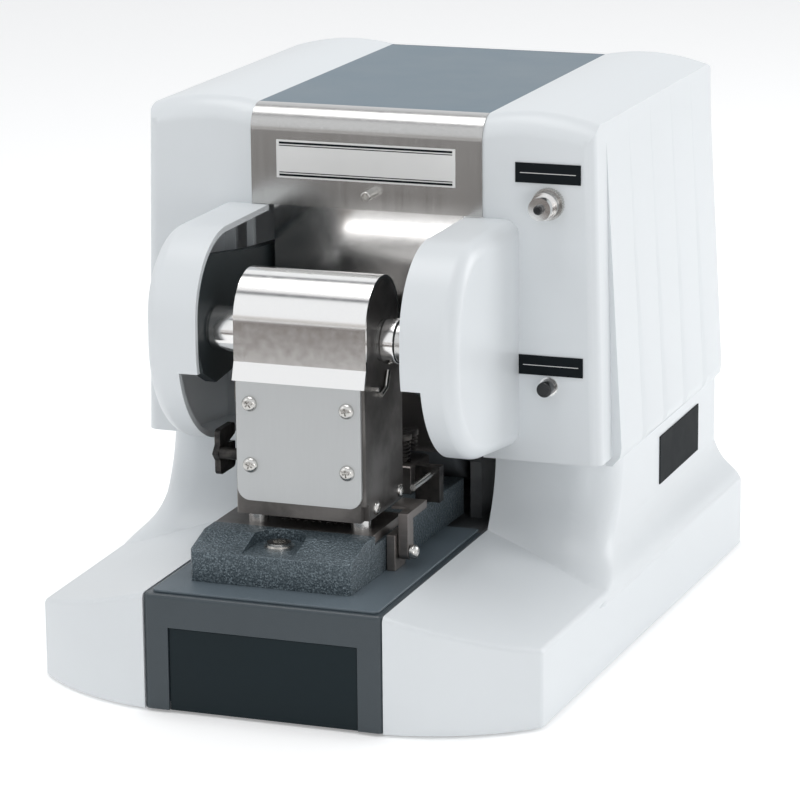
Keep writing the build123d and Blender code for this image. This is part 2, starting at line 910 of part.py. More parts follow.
spring_rise = spring_top - stop_block_top - spring_wire
with BuildPart() as stop_spring:
    with BuildLine(level_plane(stop_block_top + spring_wire / 2)) as coil:
        Helix(spring_rise / spring_turns, spring_rise, spring_radius,
              center=(spring_x, spring_depth, 0))
    with BuildSketch(Plane(origin=coil.line @ 0, z_dir=coil.line % 0)):
        Circle(spring_wire / 2)
    sweep(path=coil.line, is_frenet=True)
print("gap between turns of stop_spring, mm:",
      round(spring_rise / spring_turns - spring_wire, 2))
write(stop_spring, "stop_spring")

with BuildPart() as gauge_rod:
    with BuildSketch(facing_plane(gauge_foot_depth)):
        with Locations((gauge_x, gauge_height)):
            Circle(gauge_radius)
    extrude(amount=gauge_foot_depth - gauge_tip_depth)
    with BuildSketch(level_plane(rear_table)):
        with Locations((gauge_x - 2.5, gauge_foot_depth)):
            Rectangle(13.0, 6.0)
    extrude(amount=gauge_height + 3.5 - rear_table)
write(gauge_rod, "gauge_rod")

# stop lever beside the die, with its foot and the pin that it turns on
with BuildPart() as lever_bracket:
    with BuildSketch(level_plane(deck_top)):
        with Locations((lever_foot_x, lever_depth)):
            Rectangle(lever_foot_width, 15.0)
    extrude(amount=lever_foot_top - deck_top)
    with BuildSketch(side_plane(lever_foot_x - lever_foot_width)):
        with Locations((lever_depth, lever_height)):
            Circle(lever_pin_radius)
    extrude(amount=2 * lever_foot_width, mode=Mode.SUBTRACT)
write(lever_bracket, "lever_bracket")

with BuildPart() as lever_pin:
    with BuildSketch(side_plane(lever_foot_x - lever_foot_width / 2)):
        with Locations((lever_depth, lever_height)):
            Circle(lever_pin_radius)
    extrude(amount=lever_outer + 1 - lever_foot_x + lever_foot_width / 2)
    with BuildSketch(side_plane(lever_outer + 0.4)):
        with Locations((lever_depth, lever_height)):
            Circle(lever_head_radius)
    extrude(amount=3.6)
    fillet(lever_pin.faces().sort_by(Axis.X)[-1].edges(), 2.4)
write(lever_pin, "lever_pin")

with BuildPart() as stop_lever:
    with BuildSketch(side_plane(lever_inner)) as outline:
        with BuildLine():
            Polyline(
                (lever_depth - 4, lever_height - 4),
                (lever_depth + 4, lever_height - 4),
                (lever_depth + 4, lever_top - 7),
                (lever_depth + 24, lever_top - 7),
                (lever_depth + 24, lever_top - 3),
                (lever_depth - 4, lever_top - 3),
                close=True,
            )
        make_face()
        fillet(outline.vertices().group_by(Axis.Y)[0], 3.5)
    extrude(amount=lever_outer - lever_inner)
    with BuildSketch(level_plane(lever_top - 4.5)):
        with Locations((lever_reach_x, lever_depth + 16)):
            Rectangle(lever_outer - lever_reach_x, 16.0, align=(Align.MIN, Align.CENTER))
    extrude(amount=1.5)
    with BuildSketch(side_plane(lever_inner - 1)):
        with Locations((lever_depth, lever_height)):
            Circle(lever_pin_radius + fit)
    extrude(amount=lever_outer - lever_inner + 2, mode=Mode.SUBTRACT)
write(stop_lever, "stop_lever")


# ---------------------------------------------------------------- punching head
def cheek(x):
    with BuildSketch(side_plane(x)) as face:
        with BuildLine():
            dome = CenterArc((cheek_depth, cheek_height), cheek_radius, 0, 180)
            Polyline(
                dome @ 1,
                (cheek_depth - cheek_radius, cover_foot - 0.8),
                (head_front + 0.2, head_block_top),
                (head_front + 0.2, head_block_top - reach),
                (head_rear, head_block_top - reach),
                (head_rear, head_block_top),
                (cheek_depth + cheek_radius, cover_rear_low),
                dome @ 0,
            )
        make_face()
    return face.sketch


with BuildPart() as head_frame:
    with BuildSketch(level_plane(head_low)) as outline:
        with Locations((0, head_front)):
            Rectangle(2 * head_half, head_rear - head_front, align=(Align.CENTER, Align.MIN))
        fillet(outline.vertices().group_by(Axis.Y)[0], 1.5)
    extrude(amount=head_block_top - head_low)
    for x in (-head_half, head_half - cheek_thickness):
        extrude(cheek(x), amount=cheek_thickness)
    with BuildSketch(side_plane(-head_half - 1)):
        with Locations((shaft_depth, shaft_height)):
            Circle(shaft_radius + shaft_slack)
    extrude(amount=2 * head_half + 2, mode=Mode.SUBTRACT)
    with BuildSketch(level_plane(head_low - 1)):
        with Locations((-pillar_x, pillar_depth), (pillar_x, pillar_depth)):
            Circle(pillar_radius + fit)
    extrude(amount=head_block_top - head_low + 2, mode=Mode.SUBTRACT)
    with BuildSketch(level_plane(head_low - 1)):
        with Locations((0, pin_centre)):
            Rectangle(block_width, block_depth)
    extrude(amount=block_low + block_height - head_low + 1, mode=Mode.SUBTRACT)
    # notch in the lower corner beside the plate
    with BuildSketch(level_plane(head_low - 1)):
        with Locations((head_half + 1, head_front - 1)):
            Rectangle(3.5, 6.0, align=(Align.MAX, Align.MIN))
    extrude(amount=9.5, mode=Mode.SUBTRACT)
    # holes of the plate screws, the side screws and the wing screw
    with BuildSketch(facing_plane(head_front + head_screw_length)):
        with Locations([(x, z) for x in (-plate_screw_x, plate_screw_x)
                        for z in plate_screw_heights]):
            Circle(head_screw_radius)
    extrude(amount=2 * head_screw_length, mode=Mode.SUBTRACT)
    for x in (-head_half - 1, head_half - side_screw_length):
        with BuildSketch(side_plane(x)):
            with Locations([(y, side_screw_height) for y in side_screw_depths]):
                Circle(side_screw_radius)
        extrude(amount=side_screw_length + 1, mode=Mode.SUBTRACT)
    with BuildSketch(side_plane(-head_half - 1)):
        with Locations((pillar_depth, wing_height)):
            Circle(wing_stem_radius + fit)
    extrude(amount=head_half + 1 - pillar_x, mode=Mode.SUBTRACT)
write(head_frame, "head_frame")

with BuildPart() as head_plate:
    with BuildSketch(facing_plane(head_front)) as outline:
        with Locations((0, plate_low)):
            Rectangle(2 * plate_half, head_block_top - plate_low,
                      align=(Align.CENTER, Align.MIN))
        fillet(outline.vertices().group_by(Axis.Y)[0], plate_corner)
        with Locations([(x, z) for x in (-plate_screw_x, plate_screw_x)
                        for z in plate_screw_heights]):
            Circle(head_screw_radius, mode=Mode.SUBTRACT)
    extrude(amount=plate_thickness)
write(head_plate, "head_plate")


def pan_screw(plane, place, shank_radius, shank_length, head_radius, head_thickness):
    # the plane is the seat of the head and faces outwards
    with BuildPart() as screw:
        with BuildSketch(plane):
            with Locations(place):
                Circle(head_radius)
        extrude(amount=head_thickness)
        crown_face = screw.faces().sort_by(Axis(plane.origin, plane.z_dir))[-1]
        fillet(crown_face.edges(), 0.55 * head_thickness)
        with BuildSketch(plane.offset(0.45 * head_thickness)):
            with Locations(place):
                Rectangle(1.1 * head_radius, 0.22 * head_radius)
                Rectangle(0.22 * head_radius, 1.1 * head_radius)
        extrude(amount=head_thickness, mode=Mode.SUBTRACT)
        with BuildSketch(plane):
            with Locations(place):
                Circle(shank_radius)
        extrude(amount=-shank_length)
    return screw.part


with BuildPart() as head_screws:
    for x in (-plate_screw_x, plate_screw_x):
        for z in plate_screw_heights:
            add(pan_screw(facing_plane(head_front - plate_thickness), (x, z),
                          head_screw_radius, head_screw_length + plate_thickness,
                          head_screw_head, head_screw_crown))
write(head_screws, "head_screws")

with BuildPart() as side_screws:
    for x, facing in ((head_half, 1), (-head_half, -1)):
        seat = Plane(origin=(x, front, 0), x_dir=(0, facing, 0), z_dir=(facing, 0, 0))
        for y in side_screw_depths:
            add(pan_screw(seat, (facing * y, side_screw_height), side_screw_radius,
                          side_screw_length, side_screw_head, side_screw_crown))
write(side_screws, "side_screws")

with BuildPart() as head_cover:
    with BuildSketch(side_plane(-head_half - 0.5)):
        with BuildLine():
            roof_in = cheek_radius
            roof_out = cheek_radius + cover_thickness
            outer = CenterArc((cheek_depth, cheek_height), roof_out, 180, -180)
            inner = CenterArc((cheek_depth, cheek_height), roof_in, 180, -180)
            Polyline(
                outer @ 0,
                (cheek_depth - roof_out, cover_foot),
                (cheek_depth - roof_out - cover_foot_reach, head_block_top),
                (cheek_depth - roof_in - cover_foot_reach + 0.05, head_block_top),
                (cheek_depth - roof_in, cover_foot - 0.4),
                inner @ 0,
            )
            Polyline(
                outer @ 1,
                (cheek_depth + roof_out, cover_rear_low),
                (cheek_depth + roof_in, cover_rear_low),
                inner @ 1,
            )
        make_face()
    extrude(amount=2 * head_half + 1)
write(head_cover, "head_cover")

with BuildPart() as punch_block:
    with BuildSketch(level_plane(block_low)):
        with Locations((0, pin_centre)):
            Rectangle(block_width, block_depth)
    extrude(amount=block_height)
    with BuildSketch(level_plane(block_low)):
        with Locations((0, pin_centre)):
            with GridLocations(pin_pitch, pin_pitch, pin_columns, pin_rows):
                Circle(pin_radius)
    extrude(amount=pin_tip + pin_length - block_low, mode=Mode.SUBTRACT)
write(punch_block, "punch_block")

with BuildPart() as punch_pins:
    with BuildSketch(level_plane(pin_tip)):
        with Locations((0, pin_centre)):
            with GridLocations(pin_pitch, pin_pitch, pin_columns, pin_rows):
                Circle(pin_radius)
    extrude(amount=pin_length)
write(punch_pins, "punch_pins")

with BuildPart() as shaft_clip:
    with BuildLine() as wire:
        clip_x = head_half + clip_radius
        FilletPolyline(
            (clip_x, front + 84, 159),
            (clip_x, front + 80.5, 151),
            (clip_x, front + 73, 149),
            radius=2.5,
        )
    with BuildSketch(Plane(origin=wire.line @ 0, z_dir=wire.line % 0)):
        Circle(clip_radius)
    sweep()
    with BuildSketch(side_plane(head_half)):
        with Locations((64, 154)):
            Circle(clip_radius)
    extrude(amount=4)
write(shaft_clip, "shaft_clip")

with BuildPart() as wing_screw:
    with BuildSketch(side_plane(-wing_face)):
        with Locations((pillar_depth, wing_height)):
            Circle(wing_stem_radius)
    extrude(amount=wing_face - pillar_x - pillar_radius - 0.35)
    with BuildSketch(side_plane(-wing_face)) as outline:
        with BuildLine():
            Polyline(
                (pillar_depth - 0.5, wing_height - 11.5),
                (pillar_depth + 19, wing_height - 11.5),
                (pillar_depth + 19, wing_height + 1.5),
                (pillar_depth + 9, wing_height + 2.7),
                (pillar_depth + 19, wing_height + 5.5),
                (pillar_depth + 19, wing_height + 11.5),
                (pillar_depth - 0.5, wing_height + 11.5),
                (pillar_depth - 0.5, wing_height + 4),
                (pillar_depth - 4, wing_height),
                (pillar_depth - 0.5, wing_height - 4),
                close=True,
            )
        make_face()
        fillet(outline.vertices().sort_by(Axis.Y)[:2], 2.5)
        fillet(outline.vertices().sort_by(Axis.Y)[-2:], 2.5)
    extrude(amount=-wing_thickness)
write(wing_screw, "wing_screw")

# ---------------------------------------------------------------- rocker
arm_outline = [
    (58.0, 168.0),
    (58.0, 190.0),
    (63.0, 203.0),
    (75.0, 212.5),
    (135.0, 204.0),
    (pivot_depth, pivot_height + pivot_boss),
    (tail_depth, tail_height + tail_boss),
    (tail_depth, tail_height - tail_boss),
    (pivot_depth, pivot_height - pivot_boss),
    (110.0, 150.0),
    (80.0, 147.0),
    (64.0, 155.0),
]
with BuildPart() as rocker_arms:
    for side in (-1, 1):
        with BuildSketch(side_plane(arm_inner if side > 0 else -arm_outer)):
            with BuildLine():
                Polyline(arm_outline, close=True)
            make_face()
            with Locations((pivot_depth, pivot_height)):
                Circle(pivot_boss)
            with Locations((tail_depth, tail_height)):
                Circle(tail_boss)
        extrude(amount=arm_thickness)
        # hub that keeps the arm off the side frame
        with BuildSketch(side_plane(frame_outer + gap if side > 0 else -arm_inner)):
            with Locations((pivot_depth, pivot_height)):
                Circle(pivot_radius + bush_wall)
        extrude(amount=arm_inner - frame_outer - gap)
    for y, z, radius in (
        (pivot_depth, pivot_height, pivot_radius + fit),
        (tail_depth, tail_height, tail_pin_radius),
        (shaft_depth, shaft_height, shaft_radius),
    ):
        with BuildSketch(side_plane(-arm_outer - 1)):
            with Locations((y, z)):
                Circle(radius)
        extrude(amount=2 * arm_outer + 2, mode=Mode.SUBTRACT)
write(rocker_arms, "rocker_arms")


def rod_along_x(y, z, radius, low, high):
    with BuildPart() as rod:
        with BuildSketch(side_plane(low)):
            with Locations((y, z)):
                Circle(radius)
        extrude(amount=high - low)
    return rod.part


with BuildPart() as cross_shaft:
    add(rod_along_x(shaft_depth, shaft_height, shaft_radius, -shaft_end, shaft_end))
    chamfer(cross_shaft.edges().filter_by(GeomType.CIRCLE), 0.8)
write(cross_shaft, "cross_shaft")

with BuildPart() as shaft_sleeves:
    for low, high in ((-arm_inner + gap, -head_half - 2), (head_half + 2, head_half + 10)):
        add(rod_along_x(shaft_depth, shaft_height, collar_radius, low, high))
    rims = shaft_sleeves.edges().filter_by(GeomType.CIRCLE)
    fillet(rims, 1.2)
    add(rod_along_x(shaft_depth, shaft_height, shaft_radius, -shaft_end, shaft_end),
        mode=Mode.SUBTRACT)
write(shaft_sleeves, "shaft_sleeves")

with BuildPart() as tail_pin:
    tail_pin_end = (arm_inner + arm_outer) / 2
    add(rod_along_x(tail_depth, tail_height, tail_pin_radius, -tail_pin_end, tail_pin_end))
write(tail_pin, "tail_pin")

# ---------------------------------------------------------------- drive
crank_depth = tail_depth
with BuildPart() as drive_frame:
    for low in (frame_inner, -frame_outer):
        with BuildSketch(side_plane(low)):
            with BuildLine():
                Polyline(frame_outline, close=True)
            make_face()
            with Locations((tail_depth, tail_height)):
                Circle(tail_window, mode=Mode.SUBTRACT)
            with Locations((pivot_depth, pivot_height)):
                Circle(pivot_radius, mode=Mode.SUBTRACT)
            with Locations((crank_depth, crank_height)):
                Circle(crank_bush_radius, mode=Mode.SUBTRACT)
            if low > 0:
                with Locations((motor_depth, motor_height)):
                    Circle(shaft_passage, mode=Mode.SUBTRACT)
        extrude(amount=frame_thickness)
    for y, z in tie_places:
        add(rod_along_x(y, z, tie_radius, -frame_inner, frame_inner))
write(drive_frame, "drive_frame")

with BuildPart() as pivot_shaft:
    add(rod_along_x(pivot_depth, pivot_height, pivot_radius, -arm_outer - gap, arm_outer + gap))
    for side in (-1, 1):
        ends = sorted((side * (arm_outer + gap), side * (arm_outer + gap + 3)))
        add(rod_along_x(pivot_depth, pivot_height, pivot_radius + bush_wall, *ends))
write(pivot_shaft, "pivot_shaft")

with BuildPart() as crank_bearings:
    for side in (-1, 1):
        body_ends = sorted((side * (frame_inner - crank_flange), side * frame_outer))
        flange_ends = sorted((side * (frame_inner - crank_flange), side * frame_inner))
        add(rod_along_x(crank_depth, crank_height, crank_bush_radius, *body_ends))
        add(rod_along_x(crank_depth, crank_height, crank_bush_radius + 2, *flange_ends))
    add(rod_along_x(crank_depth, crank_height, crank_radius + fit, -frame_outer, frame_outer),
        mode=Mode.SUBTRACT)
write(crank_bearings, "crank_bearings")

with BuildPart() as crankshaft:
    pulley_half = belt_width / 2 + gap + rim_width
    add(rod_along_x(crank_depth, crank_height, crank_radius, -frame_outer - 2,
                    belt_x + pulley_half + 4))
    add(rod_along_x(crank_depth, crank_height - eccentricity, eccentric_radius,
                    -rod_half - gap, rod_half + gap))
    for side in (-1, 1):
        ring = frame_inner - crank_flange - gap
        ends = sorted((side * (ring - 4), side * ring))
        add(rod_along_x(crank_depth, crank_height, crank_radius + 4, *ends))
write(crankshaft, "crankshaft")


def pulley(y, z, belt_inner, bore):
    groove = belt_inner - belt_clearance
    half = belt_width / 2 + gap
    with BuildPart() as wheel:
        add(rod_along_x(y, z, groove, belt_x - half - rim_width, belt_x + half + rim_width))
        for side in (-1, 1):
            ends = sorted((belt_x + side * half, belt_x + side * (half + rim_width)))
            add(rod_along_x(y, z, groove + rim_height, *ends))
        add(rod_along_x(y, z, bore, belt_x - 2 * half, belt_x + 2 * half), mode=Mode.SUBTRACT)
    return wheel.part


with BuildPart() as flywheel:
    add(pulley(crank_depth, crank_height, belt_large, crank_radius))
    with BuildSketch(side_plane(belt_x + pulley_half - web_relief)):
        with Locations((crank_depth, crank_height)):
            Circle(belt_large - flywheel_rim)
            Circle(flywheel_hub, mode=Mode.SUBTRACT)
    extrude(amount=2 * web_relief, mode=Mode.SUBTRACT)
write(flywheel, "flywheel")

with BuildPart() as motor_pulley:
    add(pulley(motor_depth, motor_height, belt_small, motor_shaft_radius))
write(motor_pulley, "motor_pulley")

with BuildPart() as drive_belt:
    for grow, mode in ((belt_thickness, Mode.ADD), (0.0, Mode.SUBTRACT)):
        with BuildSketch(side_plane(belt_x - belt_width / 2)) as loop:
            with Locations((crank_depth, crank_height)):
                Circle(belt_large + grow)
            with Locations((motor_depth, motor_height)):
                Circle(belt_small + grow)
            make_hull()
        extrude(amount=belt_width, mode=mode)
write(drive_belt, "drive_belt")

with BuildPart() as connecting_rod:
    bore = eccentric_radius + 2 * eccentricity + rod_slack
    big_height = crank_height - eccentricity
    with BuildSketch(side_plane(-rod_half)):
        with Locations((crank_depth, big_height)):
            Circle(bore + rod_end_wall)
        with Locations((tail_depth, tail_height)):
            Circle(tail_pin_radius + rod_end_wall)
        with Locations((tail_depth, (tail_height + big_height) / 2)):
            Rectangle(rod_shank, tail_height - big_height)
        with Locations((crank_depth, big_height)):
            Circle(bore, mode=Mode.SUBTRACT)
        with Locations((tail_depth, tail_height)):
            Circle(tail_pin_radius + fit, mode=Mode.SUBTRACT)
    extrude(amount=2 * rod_half)
write(connecting_rod, "connecting_rod")

with BuildPart() as motor_body:
    shield = motor_half - motor_core_half - 4
    add(rod_along_x(motor_depth, motor_height, motor_radius, -motor_half, motor_half))
    fillet(motor_body.edges().filter_by(GeomType.CIRCLE), 3)
    add(rod_along_x(motor_depth, motor_height, motor_core_radius, -motor_half + shield,
                    motor_half - shield), mode=Mode.SUBTRACT)
    for side in (-1, 1):
        for dy in (-motor_foot_spread[0], motor_foot_spread[0]):
            for dz in (-motor_foot_spread[1], motor_foot_spread[1]):
                ends = sorted((side * (motor_half - shield / 2), side * frame_inner))
                add(rod_along_x(motor_depth + dy, motor_height + dz, motor_foot_radius, *ends))
    add(rod_along_x(motor_depth, motor_height, motor_shaft_radius + fit, -motor_half - 1,
                    motor_half + 1), mode=Mode.SUBTRACT)
write(motor_body, "motor_body")

with BuildPart() as rotor:
    add(rod_along_x(motor_depth, motor_height, motor_shaft_radius, -motor_half - 2,
                    belt_x + pulley_half + 4))
    add(rod_along_x(motor_depth, motor_height, motor_core_radius - 1.5, -motor_core_half,
                    motor_core_half))
write(rotor, "rotor")

with BuildPart() as capacitor:
    can_x = -frame_outer - clamp_wall - capacitor_radius - gap
    with BuildSketch(facing_plane(capacitor_rear)):
        with Locations((can_x, capacitor_height)):
            Circle(capacitor_radius)
    extrude(amount=capacitor_length)
    fillet(capacitor.edges().filter_by(GeomType.CIRCLE), 2)
    clamp_rear = capacitor_rear - (capacitor_length - clamp_width) / 2
    with BuildSketch(facing_plane(clamp_rear)):
        with Locations((can_x, capacitor_height)):
            Circle(capacitor_radius + clamp_wall)
        with Locations((-frame_outer, capacitor_height)):
            Rectangle(capacitor_radius - reach / 2, capacitor_radius,
                      align=(Align.MAX, Align.CENTER))
    extrude(amount=clamp_width)
write(capacitor, "capacitor")

# ---------------------------------------------------------------- rear fittings
with BuildPart() as power_inlet:
    with BuildSketch(facing_plane(rear_face)):
        with Locations((inlet_x, inlet_height)):
            Rectangle(inlet_width, inlet_tall)
    extrude(amount=inlet_body)
    with BuildSketch(facing_plane(depth)) as rim_outline:
        with Locations((inlet_x, inlet_height)):
            Rectangle(inlet_width + 5, inlet_tall + 5)
        fillet(rim_outline.vertices(), 2)
    extrude(amount=depth - rear_face)
    with BuildSketch(facing_plane(depth)) as mouth:
        with Locations((inlet_x, inlet_height)):
            Rectangle(inlet_width - 7, inlet_tall - 7)
        fillet(mouth.vertices(), 2)
    extrude(amount=15.0, mode=Mode.SUBTRACT)
    with BuildSketch(facing_plane(depth - 3)):
        with Locations([(inlet_x - 6, inlet_height), (inlet_x, inlet_height + 3),
                        (inlet_x + 6, inlet_height)]):
            Rectangle(1.6, 4.0)
    extrude(amount=13.0)
write(power_inlet, "power_inlet")

with BuildPart() as rear_screws:
    rear_seat = Plane(origin=(0, front + rear_face, 0), x_dir=(-1, 0, 0), z_dir=(0, 1, 0))
    for x, z in rear_screw_places:
        add(pan_screw(rear_seat, (-x, z), rear_screw_radius, rear_screw_length,
                      rear_screw_head, rear_screw_crown))
write(rear_screws, "rear_screws")

# ---------------------------------------------------------------- controls and plates
with BuildPart() as name_strips:
    for low_x, high_x, low_z, high_z in name_strip_places:
        with BuildSketch(facing_plane(column_front)):
            with Locations((low_x, low_z)):
                Rectangle(high_x - low_x, high_z - low_z, align=(Align.MIN, Align.MIN))
        extrude(amount=strip_thickness)
write(name_strips, "name_strips")

with BuildPart() as data_plate:
    with BuildSketch(side_plane(column_half)):
        with Locations((data_plate_front, data_plate_low)):
            Rectangle(data_plate_length, data_plate_height, align=(Align.MIN, Align.MIN))
    extrude(amount=strip_thickness)
write(data_plate, "data_plate")


def rod_along_y(x, z, radius, near, far):
    with BuildPart() as rod:
        with BuildSketch(facing_plane(far)):
            with Locations((x, z)):
                Circle(radius)
        extrude(amount=far - near)
    return rod.part


with BuildPart() as switch_nut:
    with BuildSketch(facing_plane(column_front)):
        with Locations((switch_x, switch_height)):
            Circle(switch_nut_radius)
            with PolarLocations(switch_nut_radius, 24):
                Circle(0.5, mode=Mode.SUBTRACT)
        with Locations((switch_x, switch_height)):
            Circle(switch_radius, mode=Mode.SUBTRACT)
    extrude(amount=switch_nut_thickness)
write(switch_nut, "switch_nut")

with BuildPart() as switch_barrel:
    for radius, near, far in (
        (switch_radius, column_front - switch_reach, column_front + wall + 6),
        (switch_tip_radius, column_front - switch_tip_reach, column_front),
        (switch_nut_radius, column_front + wall, column_front + wall + 18),
    ):
        add(rod_along_y(switch_x, switch_height, radius, near, far))
    plunger_end = column_front + 1
    add(rod_along_y(switch_x, switch_height, plunger_radius + fit,
                    column_front - switch_tip_reach - 1, plunger_end + switch_travel + gap),
        mode=Mode.SUBTRACT)
write(switch_barrel, "switch_barrel")

with BuildPart() as switch_plunger:
    add(rod_along_y(switch_x, switch_height, plunger_radius,
                    column_front - switch_tip_reach - plunger_proud, plunger_end))
    fillet(switch_plunger.faces().sort_by(Axis.Y)[0].edges(), 1.0)
write(switch_plunger, "switch_plunger")

with BuildPart() as button_bezel:
    button_end = column_front + 7
    for radius, near, far in (
        (bezel_radius, column_front - bezel_proud, column_front),
        (button_radius + bezel_wall, column_front, column_front + 15),
        (bezel_radius + 2, column_front + wall, column_front + 15),
    ):
        add(rod_along_y(switch_x, button_height, radius, near, far))
    add(rod_along_y(switch_x, button_height, button_radius + fit,
                    column_front - bezel_proud - 1, button_end + button_travel + gap),
        mode=Mode.SUBTRACT)
write(button_bezel, "button_bezel")

with BuildPart() as start_button:
    add(rod_along_y(switch_x, button_height, button_radius, column_front - button_proud,
                    button_end))
    fillet(start_button.faces().sort_by(Axis.Y)[0].edges(), 1.2)
write(start_button, "start_button")
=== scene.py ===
import bpy
import bmesh
import json
import math
from mathutils import Matrix, Vector


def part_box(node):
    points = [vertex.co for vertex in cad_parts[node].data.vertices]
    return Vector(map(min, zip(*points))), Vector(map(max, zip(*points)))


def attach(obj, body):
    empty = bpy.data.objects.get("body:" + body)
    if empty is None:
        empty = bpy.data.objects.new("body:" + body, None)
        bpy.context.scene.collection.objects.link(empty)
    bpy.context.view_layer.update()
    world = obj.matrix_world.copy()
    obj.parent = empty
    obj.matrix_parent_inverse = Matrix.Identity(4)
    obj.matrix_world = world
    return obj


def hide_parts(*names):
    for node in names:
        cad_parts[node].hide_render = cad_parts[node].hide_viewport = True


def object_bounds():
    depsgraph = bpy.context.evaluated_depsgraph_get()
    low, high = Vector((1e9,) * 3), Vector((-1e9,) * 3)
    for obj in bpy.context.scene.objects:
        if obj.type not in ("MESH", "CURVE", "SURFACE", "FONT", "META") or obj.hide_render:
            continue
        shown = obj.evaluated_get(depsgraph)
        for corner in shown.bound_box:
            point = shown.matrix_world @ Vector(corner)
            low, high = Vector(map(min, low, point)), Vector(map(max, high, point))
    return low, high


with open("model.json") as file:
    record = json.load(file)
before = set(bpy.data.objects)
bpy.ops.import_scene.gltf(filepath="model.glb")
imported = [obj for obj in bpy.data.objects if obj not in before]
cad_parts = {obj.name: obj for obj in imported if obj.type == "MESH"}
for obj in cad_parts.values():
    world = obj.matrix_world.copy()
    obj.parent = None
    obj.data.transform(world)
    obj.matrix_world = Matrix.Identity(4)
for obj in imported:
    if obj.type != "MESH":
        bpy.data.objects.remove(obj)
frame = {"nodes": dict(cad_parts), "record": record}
cadLow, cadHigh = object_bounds()
print("frame loaded:", len(frame["nodes"]), "nodes")

millimetre = 0.001


# small helpers for node trees
def addNode(tree, kind, inputs=None, **settings):
    node = tree.nodes.new(kind)
    for name, value in settings.items():
        setattr(node, name, value)
    for name, value in (inputs or {}).items():
        node.inputs[name].default_value = value
    return node


def newGroup(name, kind, inputs, outputs):
    tree = bpy.data.node_groups.new(name, kind)
    for label, socketKind, value in inputs:
        socket = tree.interface.new_socket(label, in_out="INPUT", socket_type=socketKind)
        if value is not None:
            socket.default_value = value
    for label, socketKind in outputs:
        tree.interface.new_socket(label, in_out="OUTPUT", socket_type=socketKind)
    return tree, tree.nodes.new("NodeGroupInput"), tree.nodes.new("NodeGroupOutput")


def addObject(name, data):
    piece = bpy.data.objects.new(name, data)
    bpy.context.scene.collection.objects.link(piece)
    return piece


# effects shared by the finishes
def makeStreakGrain():
    # noise drawn out along one direction, as a sanding belt leaves it
    tree, into, out = newGroup(
        "streakGrain", "ShaderNodeTree",
        [("Vector", "NodeSocketVector", None), ("Stretch", "NodeSocketVector", (1, 1, 1)),
         ("Detail", "NodeSocketFloat", 4.0)],
        [("Streaks", "NodeSocketFloat"), ("Patches", "NodeSocketFloat")],
    )
    stretched = addNode(tree, "ShaderNodeVectorMath", operation="MULTIPLY")
    fine = addNode(tree, "ShaderNodeTexNoise", {"Scale": 1.0, "Roughness": 0.65})
    wide = addNode(tree, "ShaderNodeTexNoise", {"Scale": 0.16, "Detail": 2.0})
    tree.links.new(into.outputs["Vector"], stretched.inputs[0])
    tree.links.new(into.outputs["Stretch"], stretched.inputs[1])
    for noise in (fine, wide):
        tree.links.new(stretched.outputs[0], noise.inputs["Vector"])
    tree.links.new(into.outputs["Detail"], fine.inputs["Detail"])
    tree.links.new(fine.outputs["Fac"], out.inputs["Streaks"])
    tree.links.new(wide.outputs["Fac"], out.inputs["Patches"])
    return tree


def makeSoftMottle():
    # cloudy mask with a chosen contrast
    tree, into, out = newGroup(
        "softMottle", "ShaderNodeTree",
        [("Vector", "NodeSocketVector", None), ("Scale", "NodeSocketFloat", 30.0),
         ("Contrast", "NodeSocketFloat", 0.2)],
        [("Mask", "NodeSocketFloat")],
    )
    cloud = addNode(tree, "ShaderNodeTexNoise", {"Detail": 5.0, "Roughness": 0.55})
    low = addNode(tree, "ShaderNodeMath", operation="SUBTRACT")
    high = addNode(tree, "ShaderNodeMath", operation="ADD")
    low.inputs[0].default_value = high.inputs[0].default_value = 0.5  # the noise's middle
    spread = addNode(tree, "ShaderNodeMapRange", interpolation_type="SMOOTHSTEP")
    tree.links.new(into.outputs["Vector"], cloud.inputs["Vector"])
    tree.links.new(into.outputs["Scale"], cloud.inputs["Scale"])
    tree.links.new(into.outputs["Contrast"], low.inputs[1])
    tree.links.new(into.outputs["Contrast"], high.inputs[1])
    tree.links.new(cloud.outputs["Fac"], spread.inputs["Value"])
    tree.links.new(low.outputs[0], spread.inputs["From Min"])
    tree.links.new(high.outputs[0], spread.inputs["From Max"])
    tree.links.new(spread.outputs["Result"], out.inputs["Mask"])
    return tree


def makeHammerCells():
    # shallow dimples with raised rims, as hammered enamel dries
    tree, into, out = newGroup(
        "hammerCells", "ShaderNodeTree",
        [("Vector", "NodeSocketVector", None), ("Scale", "NodeSocketFloat", 700.0)],
        [("Height", "NodeSocketFloat"), ("Flecks", "NodeSocketFloat")],
    )
    cells = addNode(tree, "ShaderNodeTexVoronoi", {"Randomness": 1.0}, feature="SMOOTH_F1")
    cells.inputs["Smoothness"].default_value = 0.4
    speck = addNode(tree, "ShaderNodeTexNoise", {"Detail": 3.0, "Roughness": 0.7})
    finer = addNode(tree, "ShaderNodeMath", operation="MULTIPLY")
    finer.inputs[1].default_value = 1.7  # flecks lie closer than dimples
    gate = addNode(tree, "ShaderNodeMapRange", {"From Min": 0.48, "From Max": 0.66})
    tree.links.new(into.outputs["Vector"], cells.inputs["Vector"])
    tree.links.new(into.outputs["Vector"], speck.inputs["Vector"])
    tree.links.new(into.outputs["Scale"], cells.inputs["Scale"])
    tree.links.new(into.outputs["Scale"], finer.inputs[0])
    tree.links.new(finer.outputs[0], speck.inputs["Scale"])
    tree.links.new(speck.outputs["Fac"], gate.inputs["Value"])
    tree.links.new(cells.outputs["Distance"], out.inputs["Height"])
    tree.links.new(gate.outputs["Result"], out.inputs["Flecks"])
    return tree


